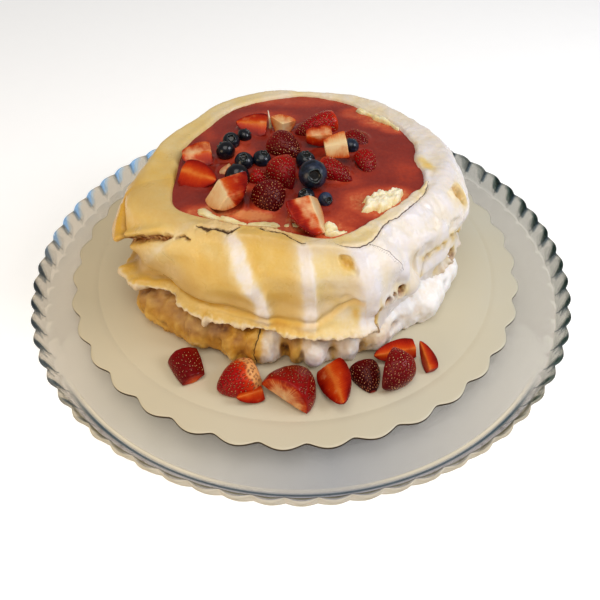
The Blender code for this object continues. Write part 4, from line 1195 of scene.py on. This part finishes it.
# length, width, sector round the core, stem and nose cuts, where the point lies, where the skin faces,
# how ripe the two cut faces are from 0, pale, to 1, red, and how deep the skin's red is
topStrawberries = (
    (24, 18, 150, 0.16, 0, (-1, 0.1, 0), (0, 0.45, -0.9), (0.9, 0.7), 0.5),
    (18, 21, 110, 0.3, 0, (-0.1, 0.1, -1), (0.1, 1, 0.1), (0.35, 0.1), 0.4),
    (33, 17, 180, 0.12, 0, (-0.9, -0.35, -0.1), (-0.1, -0.5, 0.85), (0.8, 0.8), 0.1),
    (25, 21, 180, 0.1, 0, (0.7, -0.6, -0.1), (0, -0.45, 0.9), (0.9, 0.9), 0.85),
    (22, 15, 120, 0.1, 0.2, (-1, -0.1, 0), (0, 0.7, -0.5), (0.75, 0.6), 0.4),
    (25, 17, 130, 0.3, 0.2, (-0.95, -0.1, -0.15), (0.1, 0.6, -0.7), (0.3, 0.15), 0.3),
    (21, 17, 180, 0.1, 0, (0.7, -0.6, 0), (0.3, -0.3, 0.9), (0.9, 0.9), 0.6),
    (26, 16, 180, 0.1, 0, (0.8, -0.5, -0.15), (0, -0.5, 0.85), (0.9, 0.9), 0.3),
    (21, 15, 180, 0.2, 0, (0.2, -0.9, -0.2), (0.4, -0.4, 0.8), (0.9, 0.9), 0.25),
    (23, 18, 150, 0.14, 0.1, (-0.95, -0.2, 0), (0, 0.45, -0.9), (0.75, 0.45), 0.4),
    (25, 20, 150, 0.1, 0, (0.9, -0.3, -0.1), (-0.2, 0.5, -0.75), (1.0, 1.0), 0.45),
    (14, 11, 150, 0.2, 0, (0.3, 0.9, 0), (0.1, 0, -1), (0.5, 0.5), 0.4),
    (30, 30, 130, 0.3, 0.22, (0.37, -0.93, -0.1), (0.4, 0.35, -0.85), (0.72, -0.3), 0.3),
    (12, 10.5, 180, 0.1, 0, (0.9, -0.3, -0.2), (0, -0.4, 0.9), (0.9, 0.9), 0.15),
    (24, 20, 160, 0.1, 0, (0.35, -0.85, -0.3), (-0.5, -0.5, 0.7), (0.9, 0.5), 0.35),
    (22, 21, 180, 0.1, 0, (0.3, -0.9, -0.25), (-0.1, -0.45, 0.9), (0.9, 0.9), 0.95),
    (33, 29, 130, 0.2, 0.12, (0.35, -0.75, -0.55), (-0.35, -0.2, -0.9), (-0.2, 0.66), 0.3),
)
boardStrawberries = (
    (46, 19, 140, 0.3, 0.3, (0.45, -0.9, 0), (-0.15, -0.1, 1), (0.95, 0.95), 0.7),
    (28, 25, 172, 0.05, 0, (-0.85, -0.35, -0.1), (0.1, -0.35, 0.9), (0.7, 0.3), -0.22),
    (19, 14, 120, 0.15, 0, (-0.85, -0.3, 0), (0.2, 0.4, -0.85), (0.95, 0.95), 0.6),
    (35, 31, 175, 0.24, 0, (0.5, 0.85, -0.15), (0.1, -0.2, 0.95), (0.4, 0.4), 0.45),
    (37, 25, 160, 0.1, 0, (0.3, -0.95, 0), (0.45, 0.3, -0.8), (0.95, 0.8), 0.4),
    (28, 20, 180, 0.26, 0.04, (0.25, -0.95, 0), (0, -0.1, 1), (0.9, 0.9), 1.0),
    (30, 17, 120, 0.1, 0, (-0.95, -0.2, 0), (0.1, 0.6, -0.7), (0.9, 0.9), 0.5),
    (28, 25, 150, 0.15, 0, (-0.5, -0.85, 0), (0.6, -0.45, 0.6), (0.75, 0.75), 0.7),
    (22, 13, 110, 0.1, 0, (-0.2, 0.95, 0.2), (0.6, 0, -0.7), (1.0, 1.0), 0.5),
)

berryForm = {
    "shoulder": 0.66, "bluntness": 0.6, "detail": 6, "edge": 0.9,
    "seedPitch": 2.15, "dimple": 0.34, "dimpleWidth": 0.62,
}


def berryProfile(along):
    # a berry's half width at this share of its length: blunt at the stem, tapering to the tip
    form = berryForm
    along = np.clip(along, 1e-4, 1 - 1e-4)
    return np.sin(math.pi * along ** form["shoulder"]) ** form["bluntness"]


def unitSphere(detail):
    # points and faces of an even ball
    ball = bmesh.new()
    bmesh.ops.create_icosphere(ball, subdivisions=detail, radius=1.0)
    points = np.array([vert.co[:] for vert in ball.verts])
    faces = [[vert.index for vert in face.verts] for face in ball.faces]
    ball.free()
    return points, faces


def berryShape(piece, ball):
    # the piece about its berry's middle, its point towards +X and its skin towards +Z. Each ray from
    # inside runs to the nearest of the skin and the cuts, which meet in a rounded edge
    length, width, sector, stem, nose = piece[:5]
    half = math.radians(sector / 2)
    lift = 0.24 * width * (1.15 if sector > 140 else 1.3)
    start = np.array([length * (0.44 + 0.5 * stem - 0.5 * nose - 0.5), 0, lift])
    rays = ball * (length, width, width * 0.6)
    rays = rays / np.linalg.norm(rays, axis=1, keepdims=True)
    near, far = np.zeros(len(rays)), np.full(len(rays), length)
    for _ in range(26):
        middle = (near + far) / 2
        spot = start + rays * middle[:, None]
        inside = np.hypot(spot[:, 1], spot[:, 2]) < 0.5 * width * berryProfile(spot[:, 0] / length + 0.5)
        inside &= np.abs(spot[:, 0]) < length / 2
        near, far = np.where(inside, middle, near), np.where(inside, far, middle)
    reaches = [near]
    cuts = [((0, math.cos(half), -math.sin(half)), 0), ((0, -math.cos(half), -math.sin(half)), 0)]
    if stem:
        cuts.append(((-1, 0, 0), (0.5 - stem) * length))
    if nose:
        cuts.append(((1, 0, 0), (0.5 - nose) * length))
    for normal, offset in cuts:
        facing = rays @ np.array(normal)
        gap = offset - start @ np.array(normal)
        reaches.append(np.where(facing > 1e-3, gap / np.maximum(facing, 1e-3), 4 * length))
    reaches = np.array(reaches)
    sharp = 3.2 / berryForm["edge"]
    nearest = reaches.min(axis=0)
    reach = nearest - np.log(np.exp(-sharp * (reaches - nearest)).sum(axis=0)) / sharp
    cutReach = reaches[1:].min(axis=0)
    skin = smooth(-0.35, 0.35, cutReach - reaches[0])
    return start + rays * reach[:, None], skin


def seedSpots(piece):
    # an even spiral of seeds over the skin of the piece, with the way out from each
    length, width, sector, stem, nose = piece[:5]
    pitch = berryForm["seedPitch"]
    count = int(2.6 * length * width / pitch ** 2)
    order = np.arange(count) + 0.5
    stray = np.random.default_rng(count)
    along = 0.06 + 0.88 * order / count + stray.normal(0, 0.012, count)
    turn = order * math.pi * (3 - math.sqrt(5)) + stray.normal(0, 0.05, count)
    turn = (turn + math.pi) % (2 * math.pi) - math.pi
    reach = 0.5 * width * berryProfile(along)
    spots = np.stack([(along - 0.5) * length, reach * np.sin(turn), reach * np.cos(turn)], axis=-1)
    slope = np.gradient(reach) / np.gradient((along - 0.5) * length)
    out = np.stack([-slope, np.sin(turn), np.cos(turn)], axis=-1)
    out /= np.linalg.norm(out, axis=1, keepdims=True)
    clear = 1.0 / np.maximum(reach, 1)
    keep = (np.abs(turn) < math.radians(sector / 2) - clear)
    keep &= (along > stem + 0.05) & (along < 1 - nose - 0.04)
    return spots[keep], out[keep]


def layDown(piece, points, node):
    # turns the piece the way it lies, sized to its node's box; returns the turn and the shift onto it
    tip, skin = (np.array(piece[i], float) for i in (5, 6))
    tip /= np.linalg.norm(tip)
    skin = skin - tip * (skin @ tip)
    skin /= np.linalg.norm(skin)
    turn = np.stack([tip, np.cross(skin, tip), skin])
    turned = points @ turn
    low, high = boxOf(node)
    turn = turn * ((high - low) / (turned.max(axis=0) - turned.min(axis=0))).mean()
    turned = points @ turn
    shift = (low + high) / 2 - (turned.min(axis=0) + turned.max(axis=0)) / 2
    shift[2] = low[2] - turned[:, 2].min()
    return turn, shift


def strawberryFlesh():
    # ripe strawberry: glossy translucent skin, paler flesh with white threads running out from the core
    flesh, add, shader = newMaterial(
        "ripe_strawberry", Subsurface_Weight=0.06, Subsurface_Scale=1.2 * mm, Specular_IOR_Level=0.16,
        Specular_Tint=(1.0, 0.4, 0.34, 1.0), Coat_Weight=0.13, Coat_Roughness=0.04,
        Subsurface_Radius=(1.0, 0.25, 0.12))
    read = {label: add("ShaderNodeAttribute", attribute_name=label).outputs["Fac"]
            for label in ("skin", "core", "along", "ripe", "pit", "deep", "thread")}
    place = add("ShaderNodeTexCoord").outputs["Object"]
    cloud = add("ShaderNodeTexNoise", {"Vector": place, "Scale": 130.0, "Detail": 3.0})
    # skin: darkest crimson on the body, orange to cream by the stem
    wander = add("ShaderNodeMath", {0: cloud, 1: 0.3, 2: -0.15}, operation="MULTIPLY_ADD")
    byStem = add("ShaderNodeMath", {0: read["along"], 1: wander}, use_clamp=True)
    bright = add("ShaderNodeValToRGB", {"Fac": byStem},
                 stops=[(0.03, "#e2a060"), (0.11, "#cc3c10"), (0.24, "#a8120a"), (0.7, "#94060e"),
                        (1.0, "#76040c")])
    dark = add("ShaderNodeValToRGB", {"Fac": byStem},
               stops=[(0.03, "#c46c38"), (0.1, "#901808"), (0.22, "#5c0405"), (0.7, "#3c0204"),
                      (1.0, "#2e0104")])
    skinTone = add("ShaderNodeMix", {"Factor": read["deep"], "A": bright, "B": dark}, data_type="RGBA")
    # the seed dimples darkened as painted shade
    pitted = add("ShaderNodeMix", {"Factor": read["pit"], "A": skinTone, "B": "#3c0306"}, data_type="RGBA")
    # cut flesh: from the core out to the skin
    grain = add("ShaderNodeTexNoise", {"W": read["thread"], "Scale": 9.0, "Detail": 2.0},
                noise_dimensions="1D")
    streak = add("ShaderNodeMath", {0: grain, 1: 0.5, 2: -0.25}, operation="MULTIPLY_ADD")
    depth = add("ShaderNodeMath", {0: read["core"], 1: streak})
    patch = add("ShaderNodeMath", {0: cloud, 1: 0.8, 2: -0.4}, operation="MULTIPLY_ADD")
    soft = add("ShaderNodeMath", {0: depth, 1: patch}, use_clamp=True)
    paleCut = add("ShaderNodeValToRGB", {"Fac": soft},
                  stops=[(0.05, "#e4c898"), (0.45, "#dba56c"), (0.68, "#c85c20"), (0.86, "#b02808"),
                         (1.0, "#840c04")])
    redCut = add("ShaderNodeValToRGB", {"Fac": soft},
                 stops=[(0.0, "#d2702a"), (0.25, "#bf420c"), (0.5, "#ae2a06"), (0.8, "#8e1204"),
                        (1.0, "#660602")])
    blotch = add("ShaderNodeMath", {0: patch, 1: 1.5, 2: read["ripe"]}, operation="MULTIPLY_ADD")
    share = add("ShaderNodeMapRange", {"Value": blotch, "From Min": 0.25, "From Max": 0.75})
    cutTone = add("ShaderNodeMix", {"Factor": share, "A": paleCut, "B": redCut}, data_type="RGBA")
    color = add("ShaderNodeMix", {"Factor": read["skin"], "A": cutTone, "B": pitted}, data_type="RGBA")
    gloss = add("ShaderNodeMapRange", {"Value": read["skin"], "To Min": 0.36, "To Max": 0.2})
    wet = add("ShaderNodeTexNoise", {"Vector": place, "Scale": 600.0, "Detail": 2.0})
    relief = add("ShaderNodeMath", {0: grain, 1: 0.8, 2: wet}, operation="MULTIPLY_ADD")
    bump = add("ShaderNodeBump", {"Height": relief, "Strength": 0.4, "Distance": 0.3 * mm})
    fill(shader, {"Base Color": color, "Roughness": gloss, "Normal": bump})
    return flesh


def makeStrawberry(name, node, piece, ball, finish):
    # one piece of berry in its node's place; returns its seeds' places and directions
    form = berryForm
    points, skin = berryShape(piece, ball[0])
    seeds, out = seedSpots(piece)
    length, width, (rightRipe, leftRipe), deep = *piece[:2], *piece[7:]
    along = points[:, 0] / length + 0.5
    fromCore = np.hypot(points[:, 1], points[:, 2])
    core = np.clip(fromCore / (0.5 * width * berryProfile(along) + 1e-6), 0, 1)
    # a dimple round each seed, worked out for some of the points at a time
    pit = np.zeros(len(points))
    for first in range(0, len(points) if len(seeds) else 0, 2000):
        part = slice(first, first + 2000)
        nearest = np.linalg.norm(points[part, None] - seeds[None], axis=2).min(axis=1)
        pit[part] = bell(nearest, form["dimpleWidth"])
    outward = points * (0, 1, 1) / (fromCore[:, None] + 1e-6)
    points = points - outward * (form["dimple"] * pit * skin)[:, None]
    soft = lumps(points + width, 7, 2, 51)
    ripe = rightRipe + (leftRipe - rightRipe) * smooth(-1.5, 1.5, points[:, 1])
    core = core * np.clip(0.66 + 0.5 * ripe, 0.45, 1)
    bite = lumps(points + 2 * width, 3.2, 2, 52) * (1 - skin)
    points = points * (1 + 0.024 * soft + 0.022 * bite)[:, None]
    thread = np.arctan2(points[:, 1], points[:, 2]) * 2 + along * 9
    turn, shift = layDown(piece, points, node)
    layers = {
        "skin": skin, "core": core, "along": along + min(deep, 0), "ripe": ripe,
        "deep": np.full(len(points), deep), "pit": pit * skin, "thread": thread,
    }
    made = placePiece(name, points @ turn + shift, ball[1], finish, layers)
    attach(made, body)
    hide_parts(node)
    sunk = out * (0.55 * form["dimple"])
    return (seeds - sunk) @ turn + shift, out @ turn, np.tile(turn[0], (len(seeds), 1))


seedForm = {"length": 0.95, "width": 0.55, "thick": 0.45, "seed": 7}


def seedGroup():
    # one flattened drop on every point, standing on the skin with its tip towards the berry's point
    tree, add, given = newGroup("seeds_on_points", (
        ("Length", "Float"), ("Width", "Float"), ("Thickness", "Float"), ("Seed", "Int"),
        ("Finish", "Material")))
    drop = add("GeometryNodeMeshUVSphere", {"Segments": 6, "Rings": 4, "Radius": 0.5})
    size = add("ShaderNodeCombineXYZ", {"X": given["Length"], "Y": given["Width"], "Z": given["Thickness"]})
    shaped = add("GeometryNodeTransform", {"Geometry": drop, "Scale": size})
    out = add("GeometryNodeInputNamedAttribute", {"Name": "facing"}, data_type="FLOAT_VECTOR")
    run = add("GeometryNodeInputNamedAttribute", {"Name": "pointing"}, data_type="FLOAT_VECTOR")
    upright = add("FunctionNodeAlignRotationToVector", {"Vector": out}, axis="Z")
    turned = add("FunctionNodeAlignRotationToVector", {"Rotation": upright, "Vector": run},
                 axis="X", pivot_axis="Z")
    vary = add("FunctionNodeRandomValue", {"Min": 0.8, "Max": 1.15, "Seed": given["Seed"]}, data_type="FLOAT")
    spread = add("GeometryNodeInstanceOnPoints",
                 {"Points": given["Geometry"], "Instance": shaped, "Rotation": turned, "Scale": vary})
    real = add("GeometryNodeRealizeInstances", {"Geometry": spread})
    smoothed = add("GeometryNodeSetShadeSmooth", {"Geometry": real})
    done = add("GeometryNodeSetMaterial", {"Geometry": smoothed, "Material": given["Finish"]})
    add("NodeGroupOutput", {"Geometry": done})
    return tree


def seedHusk():
    # strawberry seeds: dry straw-yellow husks, redder where juice wets them
    husk, add, shader = newMaterial("strawberry_seed", Roughness=0.3, Specular_IOR_Level=0.6)
    place = add("ShaderNodeTexCoord").outputs["Object"]
    patch = add("ShaderNodeTexNoise", {"Vector": place, "Scale": 240.0})
    tint = add("ShaderNodeValToRGB", {"Fac": patch},
               stops=[(0.33, "#8c3014"), (0.5, "#b25c2c"), (0.7, "#d8a468")])
    fill(shader, {"Base Color": tint})
    return husk


def makeSeeds(name, seeds):
    # all the seeds of one group of pieces, as one mesh
    places, facing, pointing = (np.concatenate(part) for part in zip(*seeds))
    mesh = bpy.data.meshes.new(name + "_points")
    mesh.from_pydata(((places + foodPlace) * mm).tolist(), [], [])
    for label, values in (("facing", facing), ("pointing", pointing)):
        layer = mesh.attributes.new(label, "FLOAT_VECTOR", "POINT")
        layer.data.foreach_set("vector", values.astype(np.float32).ravel())
    points = showObject(name + "_points", mesh)
    form = seedForm
    values = {"Length": form["length"] * mm, "Width": form["width"] * mm, "Thickness": form["thick"] * mm,
              "Seed": form["seed"], "Finish": seedFinish}
    made = runGroup(points, seedTree, values, name)
    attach(made, body)


ball = unitSphere(berryForm["detail"])
berryFinish = strawberryFlesh()
seedFinish = seedHusk()
seedTree = seedGroup()
seeds = {}
for group, name, node, pieces in (
    ("seeds_on_top", "strawberry_piece_{:02}", "strawberry_top_{:02}", topStrawberries),
    ("seeds_on_board", "strawberry_loose_{}", "strawberry_board_{}", boardStrawberries),
):
    seeds[group] = [makeStrawberry(name.format(number), node.format(number), piece, ball, berryFinish)
                    for number, piece in enumerate(pieces, 1)]
for group, spots in seeds.items():
    makeSeeds(group, spots)
print("strawberries made")


# blueberries: a flattened ball with a five-pointed crown round a hollow

# the way each crown faces, and how much bloom is left on the skin
blueberries = (
    ((0.1, -0.6, 0.8), 0.12), ((0.6, 0.3, 0.7), 0.1), ((-0.5, 0.6, 0.4), 0.1), ((0, -0.45, 0.9), 0.15),
    ((0.35, -0.1, 0.95), 0.2), ((-0.3, 0.8, 0.2), 0.05), ((0.1, -0.2, 0.97), 0.2),
    ((0.15, -0.85, 0.45), 0.5), ((0.2, 0.5, 0.8), 0.5), ((-0.4, -0.2, 0.8), 0.15),
    ((0.5, -0.7, 0.4), 1.0),
)

blueberryForm = {"columns": 60, "flatness": 0.88, "points": 5, "crownLift": 0.10, "crownSpread": 0.16}


def blueberrySkin():
    # blueberry skin: blue-black under a thin grey-blue wax that has rubbed off in places
    skin, add, shader = newMaterial("waxy_blueberry", Specular_IOR_Level=0.4)
    place = add("ShaderNodeTexCoord").outputs["Object"]
    read = {label: add("ShaderNodeAttribute", attribute_name=label).outputs["Fac"]
            for label in ("bloom", "crown", "ring")}
    rubbed = add("ShaderNodeTexNoise", {"Vector": place, "Scale": 260.0, "Detail": 4.0})
    patch = add("ShaderNodeValToRGB", {"Fac": rubbed}, stops=[(0.36, 0.1), (0.64, 1.0)])
    wax = add("ShaderNodeMath", {0: read["bloom"], 1: patch}, operation="MULTIPLY")
    tint = add("ShaderNodeMix", {"Factor": wax, "A": "#09080a", "B": "#2b3a58"}, data_type="RGBA")
    # greyer on the crown's raised points
    greyPoints = add("ShaderNodeMix", {"Factor": read["ring"], "A": tint, "B": "#3a4646"}, data_type="RGBA")
    toned = add("ShaderNodeMix", {"Factor": read["crown"], "A": greyPoints, "B": "#12100e"}, data_type="RGBA")
    gloss = add("ShaderNodeMapRange", {"Value": wax, "To Min": 0.22, "To Max": 0.5})
    fill(shader, {"Base Color": toned, "Roughness": gloss})
    return skin


def makeBlueberry(name, node, crown, bloom, finish):
    form = blueberryForm
    degrees = evenAngles(form["columns"])
    lobed = 0.5 + 0.5 * np.cos(np.radians(degrees) * form["points"])
    side = np.radians(np.linspace(-86, 55, 34))
    crownRows = (  # radius, height, how far the points stand up, how dark
        (0.52, 0.755, 0.2, 0.0), (0.49, 0.79, 0.5, 0.0), (0.465, 0.835, 1.0, 0.0), (0.43, 0.85, 1.0, 0.1),
        (0.405, 0.80, 0.7, 0.5), (0.38, 0.73, 0.2, 0.9), (0.30, 0.665, 0, 1.0), (0.17, 0.65, 0, 1.0),
        (0.05, 0.68, 0, 0.9),
    )
    rows = [(math.cos(angle), form["flatness"] * math.sin(angle), 0, 0) for angle in side] + list(crownRows)
    grid = []
    for reach, height, points, _ in rows:
        swell = 1 + form["crownSpread"] * points * (lobed - 0.5)
        lift = points * (form["crownLift"] * lobed - 0.03)
        grid.append(polarGrid(reach * swell, degrees, height + lift))
    grid = np.array(grid)
    grid *= 1 + 0.012 * lumps(grid * 4 + len(name) + bloom, 3, 2, 61)[..., None]
    turn = np.array(Vector((0, 0, 1)).rotation_difference(Vector(crown).normalized()).to_matrix())
    turned = grid @ turn.T
    low, high = boxOf(node)
    span = turned.max(axis=(0, 1)) - turned.min(axis=(0, 1))
    turned = turned * ((high - low) / span).mean()
    shift = (low + high) / 2 - (turned.min(axis=(0, 1)) + turned.max(axis=(0, 1))) / 2
    points, dark = np.array(rows)[:, 2:].T[..., None]
    layers = {"bloom": bloom, "crown": dark, "ring": 0.8 * points}
    made = closedGrid(name, turned + shift, finish, layers)
    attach(made, body)
    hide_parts(node)


blueFinish = blueberrySkin()
for number, (crown, bloom) in enumerate(blueberries, 1):
    makeBlueberry(f"blueberry_whole_{number:02}", f"blueberry_{number:02}", crown, bloom, blueFinish)
print("blueberries made")


# the sauce is made last, because it rises round whatever stands in it
spots = []
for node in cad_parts:
    if node.startswith(("strawberry_top", "blueberry")):
        low, high = boxOf(node)
        if low[2] < sauceLevel + 0.5:
            spots.append((*((low + high) / 2)[:2], *((high - low) / 2 * 0.86)[:2]))
makeSauce(spots)
print("sauce poured")
